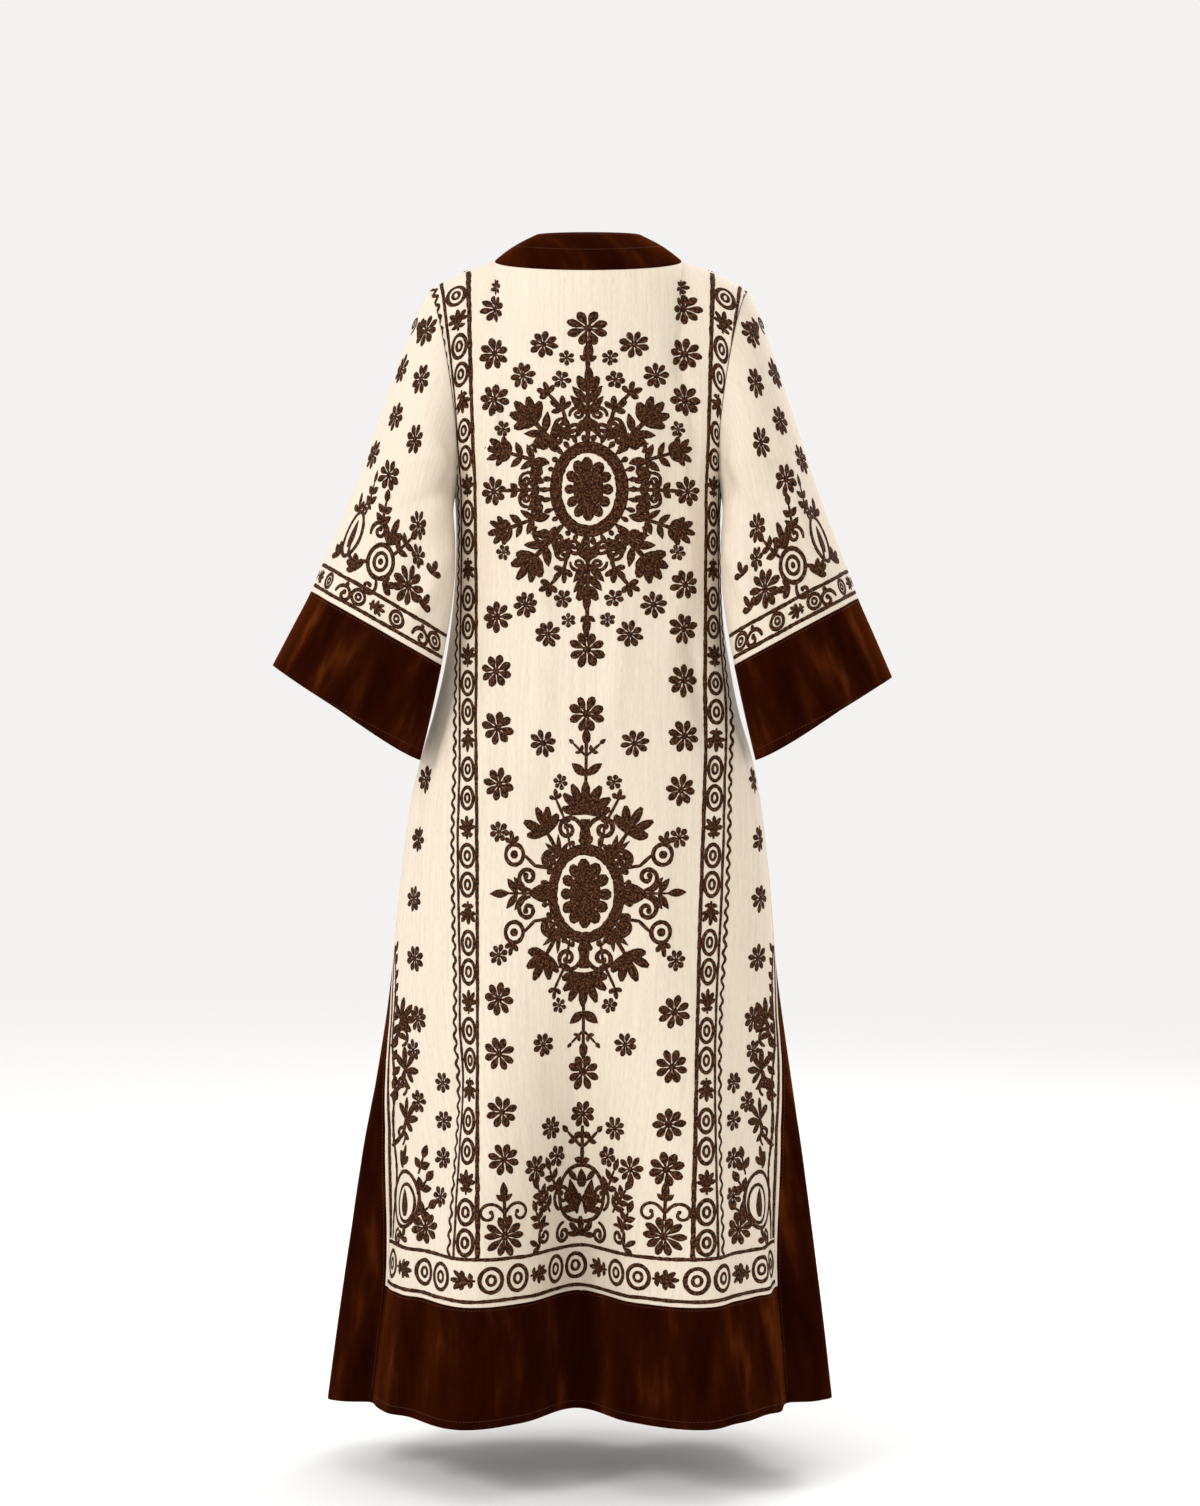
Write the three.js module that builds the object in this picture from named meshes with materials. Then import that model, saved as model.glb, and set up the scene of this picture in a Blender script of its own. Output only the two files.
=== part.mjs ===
// A long, open-front abaya in the form that it takes when it is worn.
// Millimetres. +Z is up, the back of the garment is +Y, the wearer's left is +X.
// The origin is the middle of the shoulders, level with the sides of the neckline.
import * as THREE from 'three';

// Heights of the main seams
const SHOULDER_TIP_Z = -38;
const UNDERARM_Z = -290;
const GORE_TOP_Z = -712;
const BAND_TOP_Z = -1303;
const HEM_Z = -1450;
const FULL_FOLD_Z = -1340;

// Neck, shoulders and front edges, measured from the garment's middle line
const TOP_CENTRE_X = -4;
const NECK_SIDE_X = 119;
const NECK_BACK_Y = 87;
const NECK_BACK_Z = -26;
const ROLL_SIDE_X = 64;
const ROLL_BACK_Y = 50;
const ROLL_BACK_Z = 28;
const ROLL_SIDE_Z = 34;
const SHOULDER_TIP_X = 205;
const SHOULDER_ROUNDING = 4;
const FRONT_BAND_WIDTH = 52;
const FRONT_GAP = 3.5;
const COLLAR_CROWN = 3;

// Cloth walls: how far each one reaches inside and outside the sewn surface
const SEAM_GAP = 0.32;
const CREPE_WALL = { inside: -0.6, outside: 0.9 };
const VELVET_WALL = { inside: -1.2, outside: 1.1 };
const COLLAR_WALL = { inside: -1, outside: 1.6 };

// Columns and rows of the cloth grids, shared by the pieces that meet at a seam
const NECK_COLUMNS = 8;
const SHOULDER_COLUMNS = 10;
const BACK_COLUMNS = NECK_COLUMNS + SHOULDER_COLUMNS;
const YOKE_ROWS = 10;
const GORE_COLUMNS = 9;
const BAND_COLUMNS = 4;
const BODY_ROWS_Z = [
  UNDERARM_Z, -328, -370, -415, -465, -520, -580, -640, -700, -765,
  -830, -897, -965, -1035, -1105, -1175, -1240, BAND_TOP_Z,
];
const HEM_ROWS_Z = [BAND_TOP_Z, -1350, -1400, HEM_Z];

// Level sections of the body, one row for each height
const BODY_SECTIONS = [
  { z: -290, half: 170, back: 100, front: 110, centre: -4 },
  { z: -340, half: 168, back: 96, front: 108, centre: -4 },
  { z: -400, half: 169, back: 91, front: 104, centre: -4 },
  { z: -460, half: 173, back: 92, front: 103, centre: -3 },
  { z: -520, half: 182, back: 103, front: 105, centre: -3 },
  { z: -580, half: 195, back: 116, front: 109, centre: -2 },
  { z: -635, half: 211, back: 121, front: 113, centre: -2 },
  { z: -690, half: 223, back: 122, front: 118, centre: -1 },
  { z: -770, half: 233, back: 124, front: 127, centre: 0 },
  { z: -921, half: 247, back: 128, front: 142, centre: 1 },
  { z: -1126, half: 278, back: 136, front: 162, centre: 3 },
  { z: -1332, half: 306, back: 146, front: 181, centre: 6 },
  { z: -1450, half: 321, back: 150, front: 190, centre: 8 },
];

// Hanging folds: angle from the centre back in degrees (positive towards the wearer's left),
// spread of the fold, its full rise near the hem (negative for a valley) and the height where it starts
const FOLDS = [
  { angle: 24, spread: 13, rise: 62, from: -740 },
  { angle: -27, spread: 15, rise: 65, from: -760 },
  { angle: 0.5, spread: 9.5, rise: -70, from: -820 },
  { angle: 60, spread: 7, rise: -25, from: -860 },
  { angle: -60, spread: 7, rise: -22, from: -880 },
  { angle: 112, spread: 9, rise: -22, from: -820 },
  { angle: -111, spread: 9, rise: -26, from: -840 },
  { angle: 137, spread: 11, rise: 34, from: -740 },
  { angle: -139, spread: 12, rise: 30, from: -760 },
  { angle: 158, spread: 8, rise: -20, from: -880 },
  { angle: -160, spread: 8, rise: -24, from: -860 },
];

// Seams between the panels and the side gores, as angles from the centre back
const SIDE_SEAMS = [
  { z: -290, back: 90, front: 90 },
  { z: -700, back: 95, front: 95 },
  { z: -830, back: 91, front: 100 },
  { z: -897, back: 84, front: 103 },
  { z: -965, back: 76, front: 106 },
  { z: -1105, back: 67, front: 110 },
  { z: -1240, back: 62, front: 113 },
  { z: -1303, back: 60, front: 114 },
  { z: -1450, back: 58.5, front: 116 },
];

// Sleeve rings from the armhole down to the cuff's hem: the upper and the lower end of each ring,
// how far it bows to the back and the front, how far it is drawn towards the body, and how far its
// front leans away from the body
const SLEEVE_RINGS = [
  { outX: 205, outZ: -38, inX: 170, inY: 0, inZ: -290, back: 88, front: 78, draw: 19, lean: 0 },
  { outX: 222, outZ: -75, inX: 173, inY: 16, inZ: -320, back: 88, front: 84, draw: 12, lean: 8 },
  { outX: 239, outZ: -124, inX: 170, inY: 32, inZ: -355, back: 88, front: 92, draw: 6, lean: 18 },
  { outX: 261, outZ: -188, inX: 169, inY: 45, inZ: -392, back: 87, front: 98, draw: 2, lean: 26 },
  { outX: 283, outZ: -252, inX: 171, inY: 54, inZ: -428, back: 86, front: 104, draw: 0, lean: 30 },
  { outX: 305, outZ: -313, inX: 175, inY: 60, inZ: -462, back: 86, front: 108, draw: 0, lean: 32 },
  { outX: 328, outZ: -368, inX: 180, inY: 64, inZ: -492, back: 86, front: 111, draw: 0, lean: 32 },
  { outX: 352, outZ: -427, inX: 185, inY: 66, inZ: -519, back: 86, front: 113, draw: 0, lean: 32 },
  { outX: 376, outZ: -476, inX: 198, inY: 66, inZ: -580, back: 86, front: 113, draw: 0, lean: 30 },
  { outX: 400, outZ: -525, inX: 212, inY: 64, inZ: -639, back: 86, front: 112, draw: 0, lean: 28 },
];
const CUFF_TOP_RING = 7;
const RING_TOP_DROP = 24;
const RING_BOTTOM_RISE = 30;
const RING_LOWER_BOW = 0.9;

// Each sleeve swings a little differently: how far its cuff's outer tip moves
const SWING = { left: { x: 4, z: 7 }, right: { x: -11, z: -8 } };

// Curves of the upper back, of the collar's seam and of the collar's roll line, as offsets from their ends
const BACK_CURVE = { start: [0, 28, -68], end: [0, 12, 90] };
const NECK_SIDE_CURVE = { start: [0, 78, -30] };
const FRONT_SEAM_CURVE = { start: [-4, -52, -22], end: [26, -7, 105] };
const FRONT_ROLL_CURVE = { start: [-2, -52, -14], end: [27, -7, 110] };

const CREPE_FINISH = { color: 0xe6d4b8, roughness: 0.85, metalness: 0 };
const VELVET_FINISH = { color: 0x4a1e0c, roughness: 0.7, metalness: 0 };

const vec = (x, y, z) => new THREE.Vector3(x, y, z);
const radians = THREE.MathUtils.degToRad;
const mix = THREE.MathUtils.lerp;

// A smooth value of one column of a table at a height z; the rows run downwards
function valueAt(table, column, z) {
  const last = table.length - 1;
  const row = Math.max(1, table.findIndex((entry) => z >= entry.z));
  const index = z < table[last].z ? last : row;
  const [upper, lower] = [table[index - 1], table[index]];
  const slope = (from, to) => (table[to][column] - table[from][column]) / (table[to].z - table[from].z);
  const span = lower.z - upper.z;
  const t = THREE.MathUtils.clamp((z - upper.z) / span, 0, 1);
  const upperSlope = slope(Math.max(index - 2, 0), index) * span;
  const lowerSlope = slope(index - 1, Math.min(index + 1, last)) * span;
  const [t2, t3] = [t * t, t * t * t];
  return (2 * t3 - 3 * t2 + 1) * upper[column] + (t3 - 2 * t2 + t) * upperSlope
    + (3 * t2 - 2 * t3) * lower[column] + (t3 - t2) * lowerSlope;
}

// A value of one column of a table along straight lines between its rows
function straightValueAt(table, column, z) {
  const index = Math.max(1, table.findIndex((entry) => z >= entry.z));
  const [upper, lower] = [table[index - 1], table[index]];
  return mix(upper[column], lower[column], (z - upper.z) / (lower.z - upper.z));
}

// How far the folds lift the cloth at an angle and a height
function foldRise(angle, z) {
  let rise = 0;
  for (const fold of FOLDS) {
    const drop = THREE.MathUtils.clamp((fold.from - z) / (fold.from - FULL_FOLD_Z), 0, 1);
    const growth = drop * drop * (3 - 2 * drop);
    const away = (angle - fold.angle) / fold.spread;
    rise += fold.rise * growth * Math.exp(-away * away);
  }
  return rise;
}

// A point of the body below the arms
function bodyPoint(angle, z) {
  const half = valueAt(BODY_SECTIONS, 'half', z);
  const turn = radians(angle);
  const depth = valueAt(BODY_SECTIONS, Math.cos(turn) > 0 ? 'back' : 'front', z);
  const outward = vec(Math.sin(turn) / half, Math.cos(turn) / depth, 0).normalize();
  const centre = vec(valueAt(BODY_SECTIONS, 'centre', z), 0, z);
  const around = vec(half * Math.sin(turn), depth * Math.cos(turn), 0);
  return centre.add(around).addScaledVector(outward, foldRise(angle, z));
}

// The angle at which the body is a given distance from its middle line, on the front
function frontAngle(distance, z) {
  const half = valueAt(BODY_SECTIONS, 'half', z);
  return 180 - THREE.MathUtils.radToDeg(Math.asin(distance / half));
}

function curve(start, startOffset, endOffset, end) {
  return new THREE.CubicBezierCurve3(start, start.clone().add(startOffset), end.clone().add(endOffset), end);
}

// The back or front half of a sleeve ring, from its upper end to its lower end
function ringHalf(side, ringIndex, face) {
  const ring = SLEEVE_RINGS[ringIndex];
  const swing = side > 0 ? SWING.left : SWING.right;
  const down = ringIndex / (SLEEVE_RINGS.length - 1);
  const out = vec(ring.outX + swing.x * down * down, 0, ring.outZ + swing.z * down * down);
  const inner = vec(ring.inX, ring.inY, ring.inZ);
  const along = inner.clone().sub(out).normalize();
  const bow = face > 0 ? ring.back : -ring.front;
  const startOffset = along.clone().multiplyScalar(RING_TOP_DROP).add(vec(-ring.draw, bow, 0));
  const lean = face > 0 ? 0 : ring.lean;
  const endOffset = along.clone().multiplyScalar(-RING_BOTTOM_RISE)
    .add(vec(lean - ring.draw, bow * RING_LOWER_BOW, 0));
  const place = (point) => vec(side * point.x + TOP_CENTRE_X, point.y, point.z);
  const turned = (offset) => vec(side * offset.x, offset.y, offset.z);
  return curve(place(out), turned(startOffset), turned(endOffset), place(inner));
}

// A point on the shoulder seam, from the side of the neck (0) to the shoulder's tip (1)
function shoulderPoint(side, share) {
  const x = mix(NECK_SIDE_X, SHOULDER_TIP_X, share);
  const rounding = SHOULDER_ROUNDING * Math.sin(Math.PI * share);
  return vec(side * x + TOP_CENTRE_X, 0, SHOULDER_TIP_Z * share + rounding);
}

// A point on the back neckline, from the middle (0) to the side of the neck (1)
function necklinePoint(side, share) {
  const turn = radians(90 * share);
  const x = side * NECK_SIDE_X * Math.sin(turn) + TOP_CENTRE_X;
  return vec(x, NECK_BACK_Y * Math.cos(turn), NECK_BACK_Z * Math.cos(turn));
}

// A point on the collar's roll line at the back
function rollPoint(side, share) {
  const turn = radians(90 * share);
  const x = side * ROLL_SIDE_X * Math.sin(turn) + TOP_CENTRE_X;
  return vec(x, ROLL_BACK_Y * Math.cos(turn), mix(ROLL_SIDE_Z, ROLL_BACK_Z, Math.cos(turn)));
}

function blendOffsets(plain, arm, weight, side) {
  return vec(side * plain[0], plain[1], plain[2]).lerp(arm, weight);
}

function curveOffsets(armCurve) {
  return {
    start: armCurve.v1.clone().sub(armCurve.v0),
    end: armCurve.v2.clone().sub(armCurve.v3),
  };
}

// One column of the upper back, from the neckline or shoulder down to the underarm's level
function upperBackColumn(column) {
  const side = column < 0 ? -1 : 1;
  const steps = Math.abs(column);
  const overShoulder = steps > NECK_COLUMNS;
  const top = overShoulder
    ? shoulderPoint(side, (steps - NECK_COLUMNS) / SHOULDER_COLUMNS)
    : necklinePoint(side, steps / NECK_COLUMNS);
  const share = steps / BACK_COLUMNS;
  const bottom = bodyPoint(90 * side * share, UNDERARM_Z);
  const arm = curveOffsets(ringHalf(side, 0, 1));
  const overArm = Math.max(0, (steps - NECK_COLUMNS) / SHOULDER_COLUMNS);
  const shoulderStart = blendOffsets(NECK_SIDE_CURVE.start, arm.start, overArm, side);
  const start = blendOffsets(BACK_CURVE.start, shoulderStart, 1 - top.y / NECK_BACK_Y, side);
  const end = blendOffsets(BACK_CURVE.end, arm.end, share ** 3, side);
  return curve(top, start, end, bottom);
}

// One column of the upper front, from the collar's seam (0) to the armhole (SHOULDER_COLUMNS)
function upperFrontColumn(side, column) {
  const share = column / SHOULDER_COLUMNS;
  const seamAngle = frontAngle(FRONT_BAND_WIDTH, UNDERARM_Z);
  const bottom = bodyPoint(side * mix(seamAngle, 90, share), UNDERARM_Z);
  const arm = curveOffsets(ringHalf(side, 0, -1));
  const weight = share ** 2;
  const start = blendOffsets(FRONT_SEAM_CURVE.start, arm.start, weight, side);
  const end = blendOffsets(FRONT_SEAM_CURVE.end, arm.end, weight, side);
  return curve(shoulderPoint(side, share), start, end, bottom);
}

// A grid of points, rows downwards and columns from the wearer's right, round the back, to the left
function makeGrid(rows, columns, pointAt) {
  const grid = [];
  for (let row = 0; row <= rows; row += 1) {
    const line = [];
    for (let column = 0; column <= columns; column += 1) line.push(pointAt(row, column));
    grid.push(line);
  }
  return grid;
}

function backPanelGrid() {
  const rows = YOKE_ROWS + BODY_ROWS_Z.length - 1;
  return makeGrid(rows, 2 * BACK_COLUMNS, (row, index) => {
    const column = index - BACK_COLUMNS;
    if (row < YOKE_ROWS) return upperBackColumn(column).getPoint(row / YOKE_ROWS);
    const z = BODY_ROWS_Z[row - YOKE_ROWS];
    return bodyPoint(straightValueAt(SIDE_SEAMS, 'back', z) * column / BACK_COLUMNS, z);
  });
}

function frontPanelGrid(side) {
  const rows = YOKE_ROWS + BODY_ROWS_Z.length - 1;
  return makeGrid(rows, SHOULDER_COLUMNS, (row, index) => {
    const column = side > 0 ? SHOULDER_COLUMNS - index : index;
    if (row < YOKE_ROWS) return upperFrontColumn(side, column).getPoint(row / YOKE_ROWS);
    return frontBodyPoint(side, column / SHOULDER_COLUMNS, BODY_ROWS_Z[row - YOKE_ROWS]);
  });
}

// A point of the front between the front band's seam (0) and the side seam (1)
function frontBodyPoint(side, share, z) {
  const seamAngle = frontAngle(FRONT_BAND_WIDTH, z);
  return bodyPoint(side * mix(seamAngle, straightValueAt(SIDE_SEAMS, 'front', z), share), z);
}

function hemBandBackGrid() {
  return makeGrid(HEM_ROWS_Z.length - 1, 2 * BACK_COLUMNS, (row, index) => {
    const z = HEM_ROWS_Z[row];
    return bodyPoint(straightValueAt(SIDE_SEAMS, 'back', z) * (index / BACK_COLUMNS - 1), z);
  });
}

function hemBandFrontGrid(side) {
  return makeGrid(HEM_ROWS_Z.length - 1, SHOULDER_COLUMNS, (row, index) => {
    const column = side > 0 ? SHOULDER_COLUMNS - index : index;
    return frontBodyPoint(side, column / SHOULDER_COLUMNS, HEM_ROWS_Z[row]);
  });
}

function sideGoreGrid(side) {
  const heights = [GORE_TOP_Z, ...BODY_ROWS_Z.filter((z) => z < GORE_TOP_Z), ...HEM_ROWS_Z.slice(1)];
  return makeGrid(heights.length - 1, GORE_COLUMNS, (row, index) => {
    const z = heights[row];
    const share = side > 0 ? index / GORE_COLUMNS : 1 - index / GORE_COLUMNS;
    const back = straightValueAt(SIDE_SEAMS, 'back', z);
    const front = straightValueAt(SIDE_SEAMS, 'front', z);
    return bodyPoint(side * mix(back, front, share), z);
  });
}

// A point of the front band, from its free edge (0) to its seam (1)
function bandPoint(side, share, z) {
  const free = frontAngle(FRONT_GAP / 2, z);
  return bodyPoint(side * mix(free, frontAngle(FRONT_BAND_WIDTH, z), share), z);
}

function frontBandGrid(side) {
  const heights = [...BODY_ROWS_Z, ...HEM_ROWS_Z.slice(1)];
  return makeGrid(heights.length - 1, BAND_COLUMNS, (row, index) => {
    const share = side > 0 ? 1 - index / BAND_COLUMNS : index / BAND_COLUMNS;
    return bandPoint(side, share, heights[row]);
  });
}

// The collar runs up from the right front band, round the neck and down to the left one
function collarGrid() {
  const across = BAND_COLUMNS;
  const stations = 2 * (YOKE_ROWS + NECK_COLUMNS);
  return makeGrid(across, stations, (row, index) => {
    const station = index - stations / 2;
    const side = station < 0 ? -1 : 1;
    const steps = Math.abs(station);
    const share = row / across;
    const lift = COLLAR_CROWN * Math.sin(Math.PI * share);
    if (steps <= NECK_COLUMNS) {
      const part = steps / NECK_COLUMNS;
      const point = rollPoint(side, part).lerp(necklinePoint(side, part), share);
      const turn = radians(90 * part);
      return point.add(vec(side * Math.sin(turn), Math.cos(turn), 1).multiplyScalar(lift * Math.SQRT1_2));
    }
    const down = (steps - NECK_COLUMNS) / YOKE_ROWS;
    const bottomEdge = bandPoint(side, 0, UNDERARM_Z);
    const { start, end } = FRONT_ROLL_CURVE;
    const roll = curve(rollPoint(side, 1), vec(side * start[0], start[1], start[2]),
      vec(side * end[0], end[1], end[2]), bottomEdge).getPoint(down);
    const point = roll.lerp(upperFrontColumn(side, 0).getPoint(down), share);
    const settled = bandPoint(side, share, UNDERARM_Z);
    if (steps === stations / 2) return settled;
    const upward = Math.max(0, 1 - 2 * down);
    const outward = vec(side * (1 - down), -down, upward).normalize();
    return point.addScaledVector(outward, lift * (1 - 0.6 * down));
  });
}

// A sleeve or cuff: its rings from one table row to another, closed round the arm
function sleeveGrid(side, firstRing, lastRing) {
  const firstFace = -side;
  return makeGrid(lastRing - firstRing, 2 * YOKE_ROWS - 1, (row, index) => {
    const ring = firstRing + row;
    if (index <= YOKE_ROWS) return ringHalf(side, ring, firstFace).getPoint(index / YOKE_ROWS);
    return ringHalf(side, ring, -firstFace).getPoint(2 - index / YOKE_ROWS);
  });
}

const PIECES = [
  { name: 'back_panel', grid: backPanelGrid(), wall: CREPE_WALL, finish: CREPE_FINISH },
  { name: 'hem_band_back', grid: hemBandBackGrid(), wall: VELVET_WALL, finish: VELVET_FINISH },
  { name: 'collar', grid: collarGrid(), wall: COLLAR_WALL, finish: VELVET_FINISH },
];
for (const [label, side] of [['left', 1], ['right', -1]]) {
  const lastRing = SLEEVE_RINGS.length - 1;
  PIECES.push(
    { name: `front_panel_${label}`, grid: frontPanelGrid(side), wall: CREPE_WALL, finish: CREPE_FINISH },
    { name: `sleeve_${label}`, grid: sleeveGrid(side, 0, CUFF_TOP_RING), wall: CREPE_WALL,
      finish: CREPE_FINISH, tube: true },
    { name: `cuff_${label}`, grid: sleeveGrid(side, CUFF_TOP_RING, lastRing), wall: VELVET_WALL,
      finish: VELVET_FINISH, tube: true },
    { name: `side_gore_${label}`, grid: sideGoreGrid(side), wall: VELVET_WALL, finish: VELVET_FINISH },
    { name: `hem_band_front_${label}`, grid: hemBandFrontGrid(side), wall: VELVET_WALL,
      finish: VELVET_FINISH },
    { name: `front_band_${label}`, grid: frontBandGrid(side), wall: VELVET_WALL, finish: VELVET_FINISH },
  );
}

// The quads of a grid, each as its four corners [row, column]
function quadsOf(piece) {
  const { grid, tube } = piece;
  const columns = grid[0].length;
  const quads = [];
  for (let row = 0; row < grid.length - 1; row += 1) {
    for (let column = 0; column < (tube ? columns : columns - 1); column += 1) {
      const next = (column + 1) % columns;
      quads.push([[row, column], [row, next], [row + 1, next], [row + 1, column]]);
    }
  }
  return quads;
}

const placeKey = (point) => [point.x, point.y, point.z].map((value) => Math.round(value * 20)).join(',');

// Outward directions, shared by all pieces that meet at a point, so that seams are mitred
function sharedNormals(pieces) {
  const sums = new Map();
  for (const piece of pieces) {
    for (const quad of quadsOf(piece)) {
      const [a, b, c, d] = quad.map(([row, column]) => piece.grid[row][column]);
      const normal = c.clone().sub(a).cross(b.clone().sub(d)).negate().normalize();
      for (const point of [a, b, c, d]) {
        const key = placeKey(point);
        if (!sums.has(key)) sums.set(key, vec(0, 0, 0));
        sums.get(key).add(normal);
      }
    }
  }
  return (point) => sums.get(placeKey(point)).clone().normalize();
}

// Draws a piece's border in by half the seam's gap, along the cloth
function insetGrid(piece) {
  const { grid, tube } = piece;
  const lastRow = grid.length - 1;
  const lastColumn = grid[0].length - 1;
  const towards = (point, neighbour) => neighbour.clone().sub(point).setLength(SEAM_GAP / 2);
  return grid.map((line, row) => line.map((point, column) => {
    const moved = point.clone();
    if (row === 0) moved.add(towards(point, grid[1][column]));
    if (row === lastRow) moved.add(towards(point, grid[lastRow - 1][column]));
    if (!tube && column === 0) moved.add(towards(point, line[1]));
    if (!tube && column === lastColumn) moved.add(towards(point, line[lastColumn - 1]));
    return moved;
  }));
}

// Gives a grid its cloth wall: an outer skin, an inner skin and the cut edges between them
function wallGeometry(piece, normalAt) {
  const { grid, wall, tube } = piece;
  const inset = insetGrid(piece);
  const [rows, columns] = [grid.length, grid[0].length];
  const positions = [];
  for (const reach of [wall.outside, wall.inside]) {
    grid.forEach((line, row) => line.forEach((point, column) => {
      const placed = inset[row][column].clone().addScaledVector(normalAt(point), reach);
      positions.push(placed.x, placed.y, placed.z);
    }));
  }
  const skin = rows * columns;
  const outer = ([row, column]) => row * columns + column;
  const inner = (corner) => outer(corner) + skin;
  const triangles = [];
  const onLeft = ([row, column]) => grid[row][column].x > TOP_CENTRE_X;
  const addQuad = (a, b, c, d, mirrored) => {
    if (mirrored) triangles.push(a, b, d, b, c, d);
    else triangles.push(a, b, c, a, c, d);
  };
  for (const [a, b, c, d] of quadsOf(piece)) {
    const mirrored = onLeft(a) || onLeft(b);
    addQuad(outer(a), outer(b), outer(c), outer(d), mirrored);
    addQuad(inner(b), inner(a), inner(d), inner(c), mirrored);
  }
  const edge = (from, to) => {
    const mirrored = onLeft(from) || onLeft(to);
    addQuad(outer(to), outer(from), inner(from), inner(to), mirrored);
  };
  for (let column = 0; column < (tube ? columns : columns - 1); column += 1) {
    const next = (column + 1) % columns;
    edge([0, column], [0, next]);
    edge([rows - 1, next], [rows - 1, column]);
  }
  for (let row = 0; !tube && row < rows - 1; row += 1) {
    edge([row + 1, 0], [row, 0]);
    edge([row, columns - 1], [row + 1, columns - 1]);
  }
  const geometry = new THREE.BufferGeometry();
  geometry.setAttribute('position', new THREE.Float32BufferAttribute(positions, 3));
  geometry.setIndex(triangles);
  geometry.computeVertexNormals();
  return geometry;
}

const group = new THREE.Group();
const normalAt = sharedNormals(PIECES);
for (const piece of PIECES) {
  const mesh = new THREE.Mesh(wallGeometry(piece, normalAt), new THREE.MeshStandardMaterial(piece.finish));
  mesh.name = piece.name;
  group.add(mesh);
}

export default group;
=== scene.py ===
import math

import bmesh
import bpy
import numpy as np
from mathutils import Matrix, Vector


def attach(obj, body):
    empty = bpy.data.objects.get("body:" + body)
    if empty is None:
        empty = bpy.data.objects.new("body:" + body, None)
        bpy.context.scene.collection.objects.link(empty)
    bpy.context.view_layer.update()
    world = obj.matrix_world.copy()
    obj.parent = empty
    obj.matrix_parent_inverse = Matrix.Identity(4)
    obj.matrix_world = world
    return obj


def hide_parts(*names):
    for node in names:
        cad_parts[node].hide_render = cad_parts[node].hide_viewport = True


bl_info = {
    "name": "Embroidered abaya",
    "version": (1, 0, 0),
    "blender": (4, 5, 0),
    "location": "3D View > Sidebar > Abaya",
    "description": "Dresses the sewn solids of an open-front abaya in crepe, velvet and embroidery",
    "category": "Object",
}

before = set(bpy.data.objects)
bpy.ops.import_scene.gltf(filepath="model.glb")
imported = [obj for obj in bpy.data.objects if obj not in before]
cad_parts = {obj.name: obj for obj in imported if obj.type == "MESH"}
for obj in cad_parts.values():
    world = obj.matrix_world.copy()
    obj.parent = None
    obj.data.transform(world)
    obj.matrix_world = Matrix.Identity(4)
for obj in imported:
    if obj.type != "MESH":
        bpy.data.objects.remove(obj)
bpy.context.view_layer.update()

MM = 0.001

# Heights of the main seams, in millimetres from the shoulders
UNDERARM_Z = -290
GORE_TOP_Z = -712
BAND_TOP_Z = -1303
HEM_Z = -1450
FULL_FOLD_Z = -1340
SHOULDER_TIP_Z = -38

# Neck, shoulders and front edges, from the middle line
TOP_CENTRE_X = -4
NECK_SIDE_X = 119
NECK_BACK_Y = 87
NECK_BACK_Z = -26
ROLL_SIDE_X = 64
ROLL_BACK_Y = 50
ROLL_BACK_Z = 28
ROLL_SIDE_Z = 34
SHOULDER_TIP_X = 205
SHOULDER_ROUNDING = 4
FRONT_BAND_WIDTH = 52
FRONT_GAP = 3.5
COLLAR_CROWN = 3

# Columns and rows of the sewn solids, whose spacing the finer grids here divide
NECK_COLUMNS = 8
SHOULDER_COLUMNS = 10
BACK_COLUMNS = NECK_COLUMNS + SHOULDER_COLUMNS

# Level sections of the body: half the width, and depth behind and before the middle
BODY_COLUMNS = ("z", "half", "back", "front", "centre")
BODY_SECTIONS = (
    (-290, 170, 100, 110, -4),
    (-340, 168, 96, 108, -4),
    (-400, 169, 91, 104, -4),
    (-460, 173, 92, 103, -3),
    (-520, 182, 103, 105, -3),
    (-580, 195, 116, 109, -2),
    (-635, 211, 121, 113, -2),
    (-690, 223, 122, 118, -1),
    (-770, 233, 124, 127, 0),
    (-921, 247, 128, 142, 1),
    (-1126, 278, 136, 162, 3),
    (-1332, 306, 146, 181, 6),
    (-1450, 321, 150, 190, 8),
)

# Hanging folds of the solids: angle from the centre back, spread, full rise, start height
FOLDS = (
    (24, 13, 62, -740),
    (-27, 15, 65, -760),
    (0.5, 9.5, -70, -820),
    (60, 7, -25, -860),
    (-60, 7, -22, -880),
    (112, 9, -22, -820),
    (-111, 9, -26, -840),
    (137, 11, 34, -740),
    (-139, 12, 30, -760),
    (158, 8, -20, -880),
    (-160, 8, -24, -860),
)

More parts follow.
